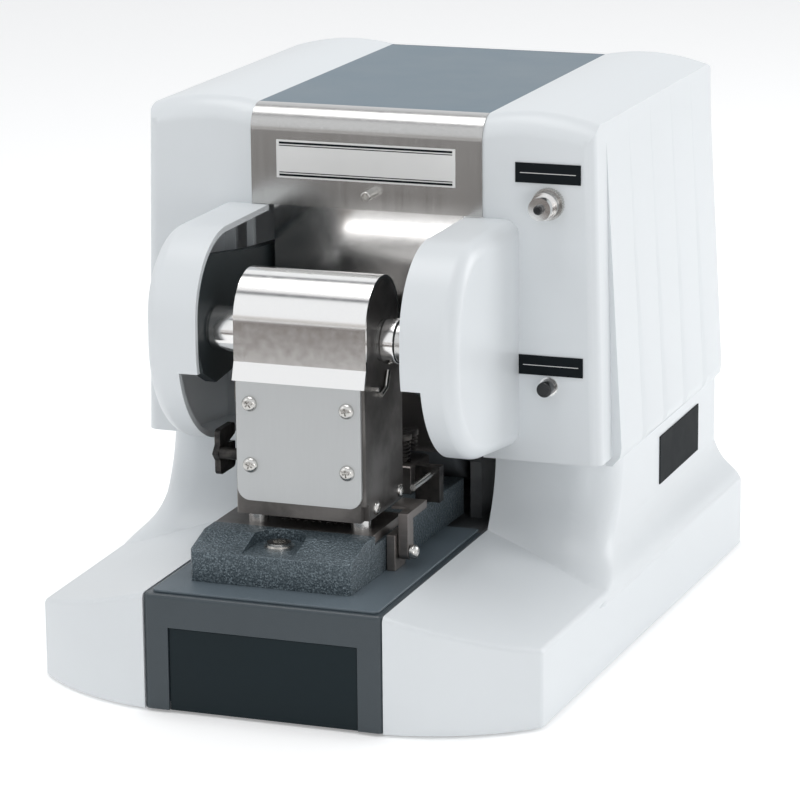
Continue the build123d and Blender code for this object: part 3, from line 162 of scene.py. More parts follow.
shared = {
    "streakGrain": makeStreakGrain(),
    "softMottle": makeSoftMottle(),
    "hammerCells": makeHammerCells(),
}
print("shared effects built:", ", ".join(shared))


def useGroup(tree, name, inputs=None):
    node = addNode(tree, "ShaderNodeGroup", node_tree=shared[name])
    for label, value in (inputs or {}).items():
        node.inputs[label].default_value = value
    coordinates = addNode(tree, "ShaderNodeTexCoord")
    tree.links.new(coordinates.outputs["Object"], node.inputs["Vector"])
    return node


def startMaterial(name, look):
    material = bpy.data.materials.new(name)
    material.use_nodes = True
    tree = material.node_tree
    shader = tree.nodes["Principled BSDF"]
    shader.inputs["Base Color"].default_value = (*look["colour"], 1)
    shader.inputs["Metallic"].default_value = look.get("metallic", 0.0)
    shader.inputs["Roughness"].default_value = look["roughness"]
    shader.inputs["IOR"].default_value = look.get("ior", 1.5)
    return material, tree, shader


def mixColours(tree, shader, mask, colourA, colourB):
    blend = addNode(tree, "ShaderNodeMix", data_type="RGBA")
    blend.inputs["A"].default_value = (*colourA, 1)
    blend.inputs["B"].default_value = (*colourB, 1)
    tree.links.new(mask, blend.inputs["Factor"])
    tree.links.new(blend.outputs["Result"], shader.inputs["Base Color"])


def spreadRoughness(tree, shader, mask, low, high):
    spread = addNode(tree, "ShaderNodeMapRange", {"To Min": low, "To Max": high})
    tree.links.new(mask, spread.inputs["Value"])
    tree.links.new(spread.outputs["Result"], shader.inputs["Roughness"])


def raiseBump(tree, shader, height, strength, distance):
    bump = addNode(tree, "ShaderNodeBump", {"Strength": strength, "Distance": distance})
    tree.links.new(height, bump.inputs["Height"])
    tree.links.new(bump.outputs["Normal"], shader.inputs["Normal"])


def shade(colour, factor):
    return tuple(channel * factor for channel in colour)


# what every finish of a kind has in common
skins = {
    "moulded": {"cloudContrast": 0.3, "peelContrast": 0.5, "glossier": 0.04, "duller": 0.05,
                "depth": 0.15 * millimetre},
    "grained": {"depth": 0.05 * millimetre},
    "hammered": {"depth": 0.3 * millimetre},
    "cast": {"patchContrast": 0.16, "glossChange": 0.06, "depth": 0.12 * millimetre},
}


def mouldedFinish(name, look):
    # moulded plastic or smooth enamel: faint clouds in tone, a skin like fine orange peel
    material, tree, shader = startMaterial(name, look)
    skin = skins["moulded"]
    mottle = useGroup(tree, "softMottle", {"Scale": look["cloudScale"], "Contrast": skin["cloudContrast"]})
    mixColours(tree, shader, mottle.outputs["Mask"], shade(look["colour"], 1 - look["toneSpread"]),
               look["colour"])
    peel = useGroup(tree, "softMottle", {"Scale": look["peelScale"], "Contrast": skin["peelContrast"]})
    spreadRoughness(tree, shader, mottle.outputs["Mask"], look["roughness"] - skin["glossier"],
                    look["roughness"] + skin["duller"])
    raiseBump(tree, shader, peel.outputs["Mask"], look["peelStrength"], skin["depth"])
    return material


def grainedFinish(name, look):
    # bare sheet or ground steel with streaks along one direction
    material, tree, shader = startMaterial(name, look)
    grain = useGroup(tree, "streakGrain", {"Stretch": look["stretch"]})
    mixColours(tree, shader, grain.outputs["Streaks"], shade(look["colour"], 1 - look["toneSpread"]),
               shade(look["colour"], 1 + look["toneSpread"]))
    spreadRoughness(tree, shader, grain.outputs["Patches"], look["roughness"] - look["glossSpread"],
                    look["roughness"] + look["glossSpread"])
    raiseBump(tree, shader, grain.outputs["Streaks"], look["grainStrength"], skins["grained"]["depth"])
    return material


def hammeredFinish(name, look):
    # enamel that dries in small dimples, with lighter flecks
    material, tree, shader = startMaterial(name, look)
    cells = useGroup(tree, "hammerCells", {"Scale": look["cellScale"]})
    mixColours(tree, shader, cells.outputs["Flecks"], look["colour"], look["fleckColour"])
    raiseBump(tree, shader, cells.outputs["Height"], look["cellStrength"], skins["hammered"]["depth"])
    return material


def castFinish(name, look):
    # oxide, cast skin, rubber or worn tool steel: two tones in patches and a gritty skin
    material, tree, shader = startMaterial(name, look)
    skin = skins["cast"]
    patches = useGroup(tree, "softMottle", {"Scale": look["patchScale"], "Contrast": skin["patchContrast"]})
    mixColours(tree, shader, patches.outputs["Mask"], look["colour"], look["wornColour"])
    spreadRoughness(tree, shader, patches.outputs["Mask"], look["roughness"] + skin["glossChange"],
                    look["roughness"] - skin["glossChange"])
    grit = useGroup(tree, "hammerCells", {"Scale": look["gritScale"]})
    raiseBump(tree, shader, grit.outputs["Height"], look["gritStrength"], skin["depth"])
    return material


mouldedLooks = {
    "shell_white": dict(colour=(0.715, 0.745, 0.765), roughness=0.36, cloudScale=9.0, toneSpread=0.03,
                        peelScale=620.0, peelStrength=0.05),
    "slate_paint": dict(colour=(0.040, 0.054, 0.064), roughness=0.36, cloudScale=22.0, toneSpread=0.12,
                        peelScale=1500.0, peelStrength=0.28),
    "dark_slate": dict(colour=(0.003, 0.011, 0.015), roughness=0.40, ior=1.30, cloudScale=16.0,
                       toneSpread=0.15, peelScale=900.0, peelStrength=0.06),
    "deck_paint": dict(colour=(0.105, 0.135, 0.158), roughness=0.48, cloudScale=22.0, toneSpread=0.12,
                       peelScale=1500.0, peelStrength=0.28),
    "lid_paint": dict(colour=(0.120, 0.172, 0.212), roughness=0.46, cloudScale=20.0, toneSpread=0.10,
                      peelScale=1600.0, peelStrength=0.30),
    "motor_grey": dict(colour=(0.10, 0.11, 0.12), roughness=0.5, cloudScale=30.0, toneSpread=0.1,
                       peelScale=900.0, peelStrength=0.2),
    "arm_dark": dict(colour=(0.026, 0.036, 0.040), roughness=0.52, cloudScale=26.0, toneSpread=0.2,
                     peelScale=900.0, peelStrength=0.2),
    "black_plastic": dict(colour=(0.018, 0.018, 0.020), roughness=0.5, cloudScale=40.0, toneSpread=0.2,
                          peelScale=1800.0, peelStrength=0.2),
    "label_black": dict(colour=(0.006, 0.009, 0.011), roughness=0.66, ior=1.22, cloudScale=60.0,
                        toneSpread=0.2, peelScale=1200.0, peelStrength=0.06),
    "label_silver": dict(colour=(0.78, 0.78, 0.77), roughness=0.34, cloudScale=40.0, toneSpread=0.04,
                         peelScale=900.0, peelStrength=0.04),
    "button_dark": dict(colour=(0.010, 0.011, 0.013), roughness=0.22, cloudScale=80.0, toneSpread=0.2,
                        peelScale=800.0, peelStrength=0.03),
}
grainedLooks = {
    "brushed_steel": dict(colour=(0.50, 0.495, 0.485), metallic=1.0, roughness=0.24, toneSpread=0.20,
                          glossSpread=0.06, stretch=(2600.0, 2600.0, 22.0), grainStrength=0.35),
    "polished_steel": dict(colour=(0.84, 0.83, 0.82), metallic=1.0, roughness=0.15, toneSpread=0.05,
                           glossSpread=0.05, stretch=(1500.0, 90.0, 1500.0), grainStrength=0.05),
    "plate_grey": dict(colour=(0.53, 0.545, 0.55), metallic=0.75, roughness=0.40, toneSpread=0.025,
                       glossSpread=0.04, stretch=(900.0, 900.0, 60.0), grainStrength=0.04),
    "die_steel": dict(colour=(0.235, 0.215, 0.205), metallic=0.95, roughness=0.40, toneSpread=0.22,
                      glossSpread=0.10, stretch=(90.0, 900.0, 700.0), grainStrength=0.22),
    "bright_steel": dict(colour=(0.60, 0.60, 0.59), metallic=1.0, roughness=0.25, toneSpread=0.10,
                         glossSpread=0.07, stretch=(1200.0, 1200.0, 260.0), grainStrength=0.12),
    "screw_nickel": dict(colour=(0.58, 0.57, 0.55), metallic=1.0, roughness=0.24, toneSpread=0.12,
                         glossSpread=0.06, stretch=(900.0, 900.0, 900.0), grainStrength=0.10),
    "rotor_steel": dict(colour=(0.40, 0.40, 0.41), metallic=1.0, roughness=0.38, toneSpread=0.15,
                        glossSpread=0.06, stretch=(2400.0, 60.0, 60.0), grainStrength=0.30),
}
castLooks = {
    "head_dark": dict(colour=(0.085, 0.080, 0.077), wornColour=(0.150, 0.142, 0.136), metallic=0.75,
                      roughness=0.40, patchScale=38.0, gritScale=2600.0, gritStrength=0.18),
    "black_steel": dict(colour=(0.016, 0.016, 0.017), wornColour=(0.065, 0.060, 0.056), metallic=0.7,
                        roughness=0.38, patchScale=160.0, gritScale=3000.0, gritStrength=0.10),
    "cast_grey": dict(colour=(0.085, 0.090, 0.095), wornColour=(0.14, 0.145, 0.15), metallic=0.3,
                      roughness=0.60, patchScale=30.0, gritScale=900.0, gritStrength=0.55),
    "rubber_black": dict(colour=(0.012, 0.012, 0.012), wornColour=(0.030, 0.030, 0.029), roughness=0.78,
                         patchScale=90.0, gritScale=2200.0, gritStrength=0.25),
    "belt_rubber": dict(colour=(0.016, 0.016, 0.016), wornColour=(0.040, 0.039, 0.038), roughness=0.72,
                        patchScale=120.0, gritScale=2600.0, gritStrength=0.2),
    "bronze": dict(colour=(0.33, 0.19, 0.07), wornColour=(0.45, 0.29, 0.12), metallic=1.0,
                   roughness=0.42, patchScale=90.0, gritScale=2600.0, gritStrength=0.15),
}
hammeredLook = dict(colour=(0.055, 0.075, 0.088), fleckColour=(0.215, 0.265, 0.295), metallic=0.35,
                    roughness=0.38, cellScale=760.0, cellStrength=1.0)

finishes = {name: mouldedFinish(name, look) for name, look in mouldedLooks.items()}
finishes.update((name, grainedFinish(name, look)) for name, look in grainedLooks.items())
finishes.update((name, castFinish(name, look)) for name, look in castLooks.items())
finishes["hammer_grey"] = hammeredFinish("hammer_grey", hammeredLook)
print("finishes mixed:", len(finishes))

slotOfNode = {part["node"]: part["material_slot"] for part in frame["record"]["subparts"]}
bodyOfNode = {node: body for body, nodes in frame["record"]["behaviour"]["bodies"].items()
              for node in nodes}

# nodes whose paint differs a little from that of their slot
ownFinish = {"deck": "deck_paint"}


def dress(piece, finishName):
    piece.data.materials.clear()
    piece.data.materials.append(finishes[finishName])


for nodeName, piece in frame["nodes"].items():
    dress(piece, ownFinish.get(nodeName, slotOfNode[nodeName]))

# the gauge rod is ground bright, its foot behind it is black
rodFoot = {"node": "gauge_rod", "behind": -58.0 * millimetre, "slot": "black_steel"}
rodMesh = frame["nodes"][rodFoot["node"]].data
rodMesh.materials.append(finishes[rodFoot["slot"]])
for polygon in rodMesh.polygons:
    polygon.material_index = int(polygon.center.y > rodFoot["behind"])
print("CAD nodes dressed")


def finishPiece(piece, bodyName, slotName, *replacedNodes):
    dress(piece, ownFinish.get(replacedNodes[0], slotName) if replacedNodes else slotName)
    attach(piece, bodyName)
    if replacedNodes:
        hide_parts(*replacedNodes)
    return piece


# width in millimetres of the eased edge that catches the light on a copy of each node
easedEdges = {
    "bed": 0.9, "die_plate": 0.35, "head_frame": 0.5, "head_plate": 0.35, "stop_lever": 0.3,
    "lever_bracket": 0.3, "rear_block": 0.4, "deck": 0.35, "front_panel": 0.3, "front_inset": 0.25,
    "right_guard": 0.55, "left_guard": 0.55, "start_button": 0.2, "base_casting": 0.5,
    "right_shell": 1.1, "left_shell": 1.1,
}
easing = {"weldWithin": 0.002 * millimetre, "flatWithin": math.radians(0.4),
          "sharpFrom": math.radians(32), "segments": 2, "profile": 0.6, "creaseFrom": math.radians(40)}


def easedCopy(nodeName, width):
    form = bmesh.new()
    form.from_mesh(frame["nodes"][nodeName].data)
    bmesh.ops.remove_doubles(form, verts=form.verts, dist=easing["weldWithin"])
    bmesh.ops.dissolve_limit(form, angle_limit=easing["flatWithin"], verts=form.verts,
                             edges=form.edges, delimit={"NORMAL"})
    sharp = [edge for edge in form.edges
             if len(edge.link_faces) == 2 and edge.calc_face_angle() > easing["sharpFrom"]]
    bmesh.ops.bevel(form, geom=sharp, offset=width * millimetre, offset_type="OFFSET",
                    segments=easing["segments"], profile=easing["profile"], affect="EDGES",
                    clamp_overlap=True)
    bmesh.ops.triangulate(form, faces=[face for face in form.faces if len(face.verts) > 4])
    mesh = bpy.data.meshes.new(nodeName + "Eased")
    form.to_mesh(mesh)
    form.free()
    for polygon in mesh.polygons:
        polygon.use_smooth = True
    mesh.set_sharp_from_angle(angle=easing["creaseFrom"])
    piece = addObject(nodeName + "Eased", mesh)
    weighted = piece.modifiers.new("evenNormals", "WEIGHTED_NORMAL")
    weighted.keep_sharp = True
    return finishPiece(piece, bodyOfNode[nodeName], slotOfNode[nodeName], nodeName)


for nodeName, width in easedEdges.items():
    easedCopy(nodeName, width)
print("edges eased:", len(easedEdges))


# geometry node helpers
def newGeometryTree(name, inputs):
    return newGroup(name, "GeometryNodeTree",
                    [("Geometry", "NodeSocketGeometry", None), *inputs],
                    [("Geometry", "NodeSocketGeometry")])


def linkAll(tree, pairs):
    for source, target in pairs:
        tree.links.new(source, target)


def seatPoints(name, seats):
    # one vertex for each seat, with the direction that it faces
    mesh = bpy.data.meshes.new(name)
    mesh.from_pydata([place for place, facing in seats], [], [])
    facing = mesh.attributes.new("facing", "FLOAT_VECTOR", "POINT")
    facing.data.foreach_set("vector", [value for seat in seats for value in seat[1]])
    return addObject(name, mesh)


def spreadOnSeats(tree, into, out, shape):
    # the shape on each point of the input, as real geometry in the chosen material
    toPoints = addNode(tree, "GeometryNodeMeshToPoints")
    onSeats = addNode(tree, "GeometryNodeInstanceOnPoints")
    realised = addNode(tree, "GeometryNodeRealizeInstances")
    coloured = addNode(tree, "GeometryNodeSetMaterial")
    linkAll(tree, [
        (into.outputs["Geometry"], toPoints.inputs["Mesh"]),
        (toPoints.outputs[0], onSeats.inputs["Points"]), (shape, onSeats.inputs["Instance"]),
        (onSeats.outputs[0], realised.inputs[0]), (realised.outputs[0], coloured.inputs["Geometry"]),
        (into.outputs["Material"], coloured.inputs["Material"]),
        (coloured.outputs[0], out.inputs["Geometry"]),
    ])
    return onSeats


grownCrease = math.radians(35)  # edges that turn more than this stay crisp


def growPiece(seed, tree, values, slotName):
    # runs the tree on the seed, keeps the result as a plain mesh and drops the modifier
    modifier = seed.modifiers.new("grow", "NODES")
    modifier.node_group = tree
    chosen = {**values, "Material": finishes[slotName]}
    for item in tree.interface.items_tree:
        if item.item_type == "SOCKET" and item.in_out == "INPUT" and item.name in chosen:
            modifier[item.identifier] = chosen[item.name]
    evaluated = seed.evaluated_get(bpy.context.evaluated_depsgraph_get())
    grown = bpy.data.meshes.new_from_object(evaluated)
    seed.modifiers.clear()
    seed.data = grown
    for polygon in grown.polygons:
        polygon.use_smooth = True
    grown.set_sharp_from_angle(angle=grownCrease)
    return seed


# a domed head with a crossed slot, set on each seat
domePower = 3.4  # the higher, the flatter the dome's middle


def makeScrewTree():
    tree, into, out = newGeometryTree("crossHeadScrews", [
        ("Head Radius", "NodeSocketFloat", 4 * millimetre),
        ("Head Height", "NodeSocketFloat", 2.4 * millimetre),
        ("Slot Length", "NodeSocketFloat", 0.95), ("Slot Width", "NodeSocketFloat", 0.19),
        ("Slot Depth", "NodeSocketFloat", 0.6), ("Seed", "NodeSocketInt", 4),
        ("Material", "NodeSocketMaterial", None),
    ])
    ball = addNode(tree, "GeometryNodeMeshUVSphere", {"Segments": 40, "Rings": 24, "Radius": 1.0})
    place = addNode(tree, "GeometryNodeInputPosition")
    split = addNode(tree, "ShaderNodeSeparateXYZ")
    across = addNode(tree, "ShaderNodeCombineXYZ")
    reachOut = addNode(tree, "ShaderNodeVectorMath", operation="LENGTH")
    steep = addNode(tree, "ShaderNodeMath", operation="POWER")
    steep.inputs[1].default_value = domePower
    remain = addNode(tree, "ShaderNodeMath", operation="SUBTRACT", use_clamp=True)
    remain.inputs[0].default_value = 1.0
    dome = addNode(tree, "ShaderNodeMath", operation="SQRT")
    above = addNode(tree, "ShaderNodeMath", operation="GREATER_THAN")
    above.inputs[1].default_value = 0.0
    kept = addNode(tree, "ShaderNodeMath", operation="MULTIPLY")
    shaped = addNode(tree, "ShaderNodeCombineXYZ")
    setPlace = addNode(tree, "GeometryNodeSetPosition")
    size = addNode(tree, "ShaderNodeCombineXYZ")
    scaled = addNode(tree, "GeometryNodeTransform")
    linkAll(tree, [
        (place.outputs[0], split.inputs[0]), (split.outputs[0], across.inputs[0]),
        (split.outputs[1], across.inputs[1]), (across.outputs[0], reachOut.inputs[0]),
        (reachOut.outputs["Value"], steep.inputs[0]), (steep.outputs[0], remain.inputs[1]),
        (remain.outputs[0], dome.inputs[0]), (split.outputs[2], above.inputs[0]),
        (dome.outputs[0], kept.inputs[0]), (above.outputs[0], kept.inputs[1]),
        (split.outputs[0], shaped.inputs[0]), (split.outputs[1], shaped.inputs[1]),
        (kept.outputs[0], shaped.inputs[2]), (ball.outputs["Mesh"], setPlace.inputs["Geometry"]),
        (shaped.outputs[0], setPlace.inputs["Position"]),
        (into.outputs["Head Radius"], size.inputs[0]), (into.outputs["Head Radius"], size.inputs[1]),
        (into.outputs["Head Height"], size.inputs[2]), (setPlace.outputs[0], scaled.inputs["Geometry"]),
        (size.outputs[0], scaled.inputs["Scale"]),
    ])
    # the two cutters of the cross
    lengthOf = addNode(tree, "ShaderNodeMath", operation="MULTIPLY")
    widthOf = addNode(tree, "ShaderNodeMath", operation="MULTIPLY")
    depthOf = addNode(tree, "ShaderNodeMath", operation="MULTIPLY")
    bladeSize = addNode(tree, "ShaderNodeCombineXYZ")
    bladePlace = addNode(tree, "ShaderNodeCombineXYZ")
    blade = addNode(tree, "GeometryNodeMeshCube")
    quarter = addNode(tree, "GeometryNodeTransform")
    quarter.inputs["Rotation"].default_value = (0, 0, math.radians(90))
    both = addNode(tree, "GeometryNodeMeshBoolean", operation="UNION", solver="EXACT")
    lifted = addNode(tree, "GeometryNodeTransform")
    cut = addNode(tree, "GeometryNodeMeshBoolean", operation="DIFFERENCE", solver="EXACT")
    linkAll(tree, [
        (into.outputs["Head Radius"], lengthOf.inputs[0]), (into.outputs["Slot Length"], lengthOf.inputs[1]),
        (into.outputs["Head Radius"], widthOf.inputs[0]), (into.outputs["Slot Width"], widthOf.inputs[1]),
        (into.outputs["Head Height"], depthOf.inputs[0]), (into.outputs["Slot Depth"], depthOf.inputs[1]),
        (lengthOf.outputs[0], bladeSize.inputs[0]), (widthOf.outputs[0], bladeSize.inputs[1]),
        (into.outputs["Head Height"], bladeSize.inputs[2]), (bladeSize.outputs[0], blade.inputs["Size"]),
        (blade.outputs["Mesh"], quarter.inputs["Geometry"]),
        (blade.outputs["Mesh"], both.inputs["Mesh 2"]), (quarter.outputs[0], both.inputs["Mesh 2"]),
        (both.outputs["Mesh"], lifted.inputs["Geometry"]),
        (bladePlace.outputs[0], lifted.inputs["Translation"]),
        (scaled.outputs[0], cut.inputs["Mesh 1"]), (lifted.outputs[0], cut.inputs["Mesh 2"]),
    ])
    # the cutters are as tall as the head and centred one and a half heights up, less the slot's depth
    aboveHead = addNode(tree, "ShaderNodeMath", operation="MULTIPLY")
    aboveHead.inputs[1].default_value = 1.5
    lowered = addNode(tree, "ShaderNodeMath", operation="MULTIPLY_ADD")
    lowered.inputs[1].default_value = -1.0
    linkAll(tree, [
        (into.outputs["Head Height"], aboveHead.inputs[0]), (depthOf.outputs[0], lowered.inputs[0]),
        (aboveHead.outputs[0], lowered.inputs[2]), (lowered.outputs[0], bladePlace.inputs[2]),
    ])
    # each seat gets a head that faces its way, with a turn of its own
    facing = addNode(tree, "GeometryNodeInputNamedAttribute", data_type="FLOAT_VECTOR")
    facing.inputs["Name"].default_value = "facing"
    turned = addNode(tree, "FunctionNodeAlignRotationToVector", axis="Z")
    spin = addNode(tree, "FunctionNodeRandomValue", data_type="FLOAT")
    spin.inputs[3].default_value = math.pi / 2  # a cross repeats after a quarter turn
    spinAxis = addNode(tree, "FunctionNodeAxisAngleToRotation")
    spun = addNode(tree, "FunctionNodeRotateRotation", rotation_space="LOCAL")
    onSeats = spreadOnSeats(tree, into, out, cut.outputs["Mesh"])
    linkAll(tree, [
        (facing.outputs["Attribute"], turned.inputs["Vector"]), (into.outputs["Seed"], spin.inputs["Seed"]),
        (spin.outputs[1], spinAxis.inputs["Angle"]), (turned.outputs[0], spun.inputs["Rotation"]),
        (spinAxis.outputs[0], spun.inputs["Rotate By"]), (spun.outputs[0], onSeats.inputs["Rotation"]),
    ])
    return tree


screwTree = makeScrewTree()
plateScrews = {"radius": 3.95 * millimetre, "height": 2.4 * millimetre, "side": 25.3 * millimetre,
               "heights": (114.0 * millimetre, 145.0 * millimetre), "seed": 7}
cheekScrews = {"radius": 3.4 * millimetre, "height": 1.6 * millimetre, "z": 92.8 * millimetre,
               "depths": (-117.0 * millimetre, -83.5 * millimetre), "seed": 3}
panelScrews = {"radius": 3.4 * millimetre, "height": 1.0 * millimetre, "side": 54.0 * millimetre,
               "heights": (14.0 * millimetre, 245.0 * millimetre), "seed": 5}


def screwSet(name, seats, look, bodyName, replacedNode):
    seed = seatPoints(name, seats)
    values = {"Head Radius": look["radius"], "Head Height": look["height"], "Seed": look["seed"]}
    growPiece(seed, screwTree, values, "screw_nickel")
    finishPiece(seed, bodyName, "screw_nickel", replacedNode)


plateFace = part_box("head_plate")[0].y
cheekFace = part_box("head_frame")[1].x
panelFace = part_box("rear_panel")[1].y
screwSet("plateScrewHeads",
         [((side * plateScrews["side"], plateFace, z), (0, -1, 0))
          for side in (-1, 1) for z in plateScrews["heights"]],
         plateScrews, "head", "head_screws")
screwSet("cheekScrewHeads",
         [((side * cheekFace, y, cheekScrews["z"]), (side, 0, 0))
          for side in (-1, 1) for y in cheekScrews["depths"]],
         cheekScrews, "head", "side_screws")
screwSet("panelScrewHeads",
         [((side * panelScrews["side"], panelFace, z), (0, 1, 0))
          for side in (-1, 1) for z in panelScrews["heights"]],
         panelScrews, "stand", "rear_screws")
print("cross-head screws set")


# printed lines on the label and the name strips
def makeBarTree():
    tree, into, out = newGeometryTree("printedBars", [
        ("Bar Size", "NodeSocketVector", (0.01, 0.0001, 0.001)), ("Material", "NodeSocketMaterial", None),
    ])
    bar = addNode(tree, "GeometryNodeMeshCube")
    tree.links.new(into.outputs["Bar Size"], bar.inputs["Size"])
    spreadOnSeats(tree, into, out, bar.outputs["Mesh"])
    return tree


barTree = makeBarTree()
labelLines = {"width": 93.0 * millimetre, "proud": 0.06 * millimetre, "thick": 1.1 * millimetre,
              "thin": 0.45 * millimetre, "thickInset": 1.5 * millimetre, "thinInset": 2.9 * millimetre}
stripLines = {"width": 29.0 * millimetre, "proud": 0.06 * millimetre, "line": 0.3 * millimetre,
              "centres": ((96.2 * millimetre, 248.2 * millimetre), (97.8 * millimetre, 150.4 * millimetre))}


def printBars(name, places, size, bodyName, slotName):
    seed = seatPoints(name, [(place, (0, -1, 0)) for place in places])
    growPiece(seed, barTree, {"Bar Size": size}, slotName)
    finishPiece(seed, bodyName, slotName)


labelLow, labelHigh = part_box("fascia_label")
for lineName in ("thick", "thin"):
    inset = labelLines[lineName + "Inset"]
    rows = (labelLow.z + inset, labelHigh.z - inset)
    printBars("labelLines." + lineName, [(0, labelLow.y, z) for z in rows],
              (labelLines["width"], 2 * labelLines["proud"], labelLines[lineName]), "stand", "label_black")
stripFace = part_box("name_strips")[0].y
printBars("stripLines", [(x, stripFace, z) for x, z in stripLines["centres"]],
          (stripLines["width"], 2 * stripLines["proud"], stripLines["line"]), "stand", "label_silver")
print("printed lines laid")


# knurled ring nut and thread of the power switch
def makeKnurlTree():
    tree, into, out = newGeometryTree("knurledRing", [
        ("Radius", "NodeSocketFloat", 9.5 * millimetre), ("Bore", "NodeSocketFloat", 7.5 * millimetre),
        ("Thickness", "NodeSocketFloat", 3.0 * millimetre), ("Ridges", "NodeSocketFloat", 36.0),
        ("Ridge Height", "NodeSocketFloat", 0.35 * millimetre), ("Material", "NodeSocketMaterial", None),
    ])
    rim = addNode(tree, "GeometryNodeMeshCylinder", {"Vertices": 288}, fill_type="NGON")
    place = addNode(tree, "GeometryNodeInputPosition")
    split = addNode(tree, "ShaderNodeSeparateXYZ")
    angle = addNode(tree, "ShaderNodeMath", operation="ARCTAN2")
    turns = addNode(tree, "ShaderNodeMath", operation="MULTIPLY")
    wave = addNode(tree, "ShaderNodeMath", operation="COSINE")
    swell = addNode(tree, "ShaderNodeMath", operation="MULTIPLY")
    flat = addNode(tree, "ShaderNodeCombineXYZ")
    outward = addNode(tree, "ShaderNodeVectorMath", operation="NORMALIZE")
    push = addNode(tree, "ShaderNodeVectorMath", operation="SCALE")
    ridged = addNode(tree, "GeometryNodeSetPosition")
    hole = addNode(tree, "GeometryNodeMeshCylinder", {"Vertices": 96})
    deep = addNode(tree, "ShaderNodeMath", operation="MULTIPLY")
    deep.inputs[1].default_value = 3.0  # the bore's cutter reaches well past both faces
    bored = addNode(tree, "GeometryNodeMeshBoolean", operation="DIFFERENCE", solver="EXACT")
    turned = addNode(tree, "GeometryNodeTransform")
    turned.inputs["Rotation"].default_value = (math.radians(90), 0, 0)
    linkAll(tree, [
        (into.outputs["Radius"], rim.inputs["Radius"]), (into.outputs["Thickness"], rim.inputs["Depth"]),
        (place.outputs[0], split.inputs[0]), (split.outputs[1], angle.inputs[0]),
        (split.outputs[0], angle.inputs[1]), (angle.outputs[0], turns.inputs[0]),
        (into.outputs["Ridges"], turns.inputs[1]),
        (turns.outputs[0], wave.inputs[0]), (wave.outputs[0], swell.inputs[0]),
        (into.outputs["Ridge Height"], swell.inputs[1]), (split.outputs[0], flat.inputs[0]),
        (split.outputs[1], flat.inputs[1]), (flat.outputs[0], outward.inputs[0]),
        (outward.outputs[0], push.inputs[0]), (swell.outputs[0], push.inputs["Scale"]),
        (rim.outputs["Mesh"], ridged.inputs["Geometry"]), (push.outputs[0], ridged.inputs["Offset"]),
        (into.outputs["Bore"], hole.inputs["Radius"]), (into.outputs["Thickness"], deep.inputs[0]),
        (deep.outputs[0], hole.inputs["Depth"]), (ridged.outputs[0], bored.inputs["Mesh 1"]),
        (hole.outputs["Mesh"], bored.inputs["Mesh 2"]), (bored.outputs["Mesh"], turned.inputs["Geometry"]),
    ])
    spreadOnSeats(tree, into, out, turned.outputs[0])
    return tree


knurlTree = makeKnurlTree()
nutLow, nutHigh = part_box("switch_nut")
nutCentre = (nutLow + nutHigh) / 2
ringNut = {"radius": 7.95 * millimetre, "bore": 6.6 * millimetre, "thickness": nutHigh.y - nutLow.y,
           "ridges": 36.0, "ridgeHeight": 0.25 * millimetre}
threadRings = {"radius": 7.0 * millimetre, "bore": 6.5 * millimetre, "thickness": 0.42 * millimetre,
               "count": 6, "pitch": 0.95 * millimetre, "start": 0.7}


def knurlSet(name, places, values, bodyName, slotName, *replacedNodes):
    seed = seatPoints(name, [(place, (0, -1, 0)) for place in places])
    growPiece(seed, knurlTree, values, slotName)
    finishPiece(seed, bodyName, slotName, *replacedNodes)


knurlSet("ringNutKnurled", [tuple(nutCentre)],
         {"Radius": ringNut["radius"], "Bore": ringNut["bore"], "Thickness": ringNut["thickness"],
          "Ridges": ringNut["ridges"], "Ridge Height": ringNut["ridgeHeight"]},
         "stand", "screw_nickel", "switch_nut")
knurlSet("switchThread",
         [(nutCentre.x, nutLow.y - (index + threadRings["start"]) * threadRings["pitch"], nutCentre.z)
          for index in range(threadRings["count"])],
         {"Radius": threadRings["radius"], "Bore": threadRings["bore"],
          "Thickness": threadRings["thickness"], "Ridge Height": 0.0},
         "stand", "polished_steel")
print("switch nut and thread cut")


# studio: pale floor, soft light, camera at the photograph's angle
studio = {
    "floor": {"half": 6.0, "colour": (0.96, 0.96, 0.96), "roughness": 0.85, "glow": 0.25},
    "world": 0.60, "mirrored": 0.40, "backdrop": 1.0, "lampsAimAt": (0, 0, 0.13),
    "nadirTone": (0.60, 0.57, 0.55), "zenithTone": (1.0, 1.0, 1.0),
    # height from nadir 0 to zenith 1, and the room's tone there
    "roomTones": ((0.50, (0.60, 0.57, 0.55)), (0.53, (0.70, 0.68, 0.66)), (0.56, (1.0, 1.02, 1.04)),
                  (0.89, (1.0, 1.02, 1.04)), (0.905, (0.12, 0.13, 0.14)), (0.92, (0.12, 0.13, 0.14)),
                  (0.935, (1.0, 1.0, 1.02))),
    # name, place, size, power
    "lights": (
        ("overhead", (-0.25, -0.2, 1.9), (1.4, 0.9), 13.0),
        ("rightRear", (1.5, 1.35, 0.8), (0.8, 1.2), 13.0),
        ("frontLeft", (-1.7, -1.6, 1.2), (0.9, 1.1), 2.5),
        ("frontRight", (1.3, -1.9, 0.25), (0.6, 0.5), 4.0),
    ),
    # a dark card on the floor before the machine, which shows in reflections alone
    "card": {"x": (-1.6, 1.2), "y": (-1.9, -0.72), "lift": 0.001, "colour": (0.16, 0.135, 0.12),
             "roughness": 0.9},
}
photoCamera = {"place": (0.64364, -1.74753, 0.58899), "yaw": 0.3509, "pitch": 0.2485, "roll": -0.0087,
               "lens": 165.94, "sensor": 36.0, "clip": (0.05, 50.0)}


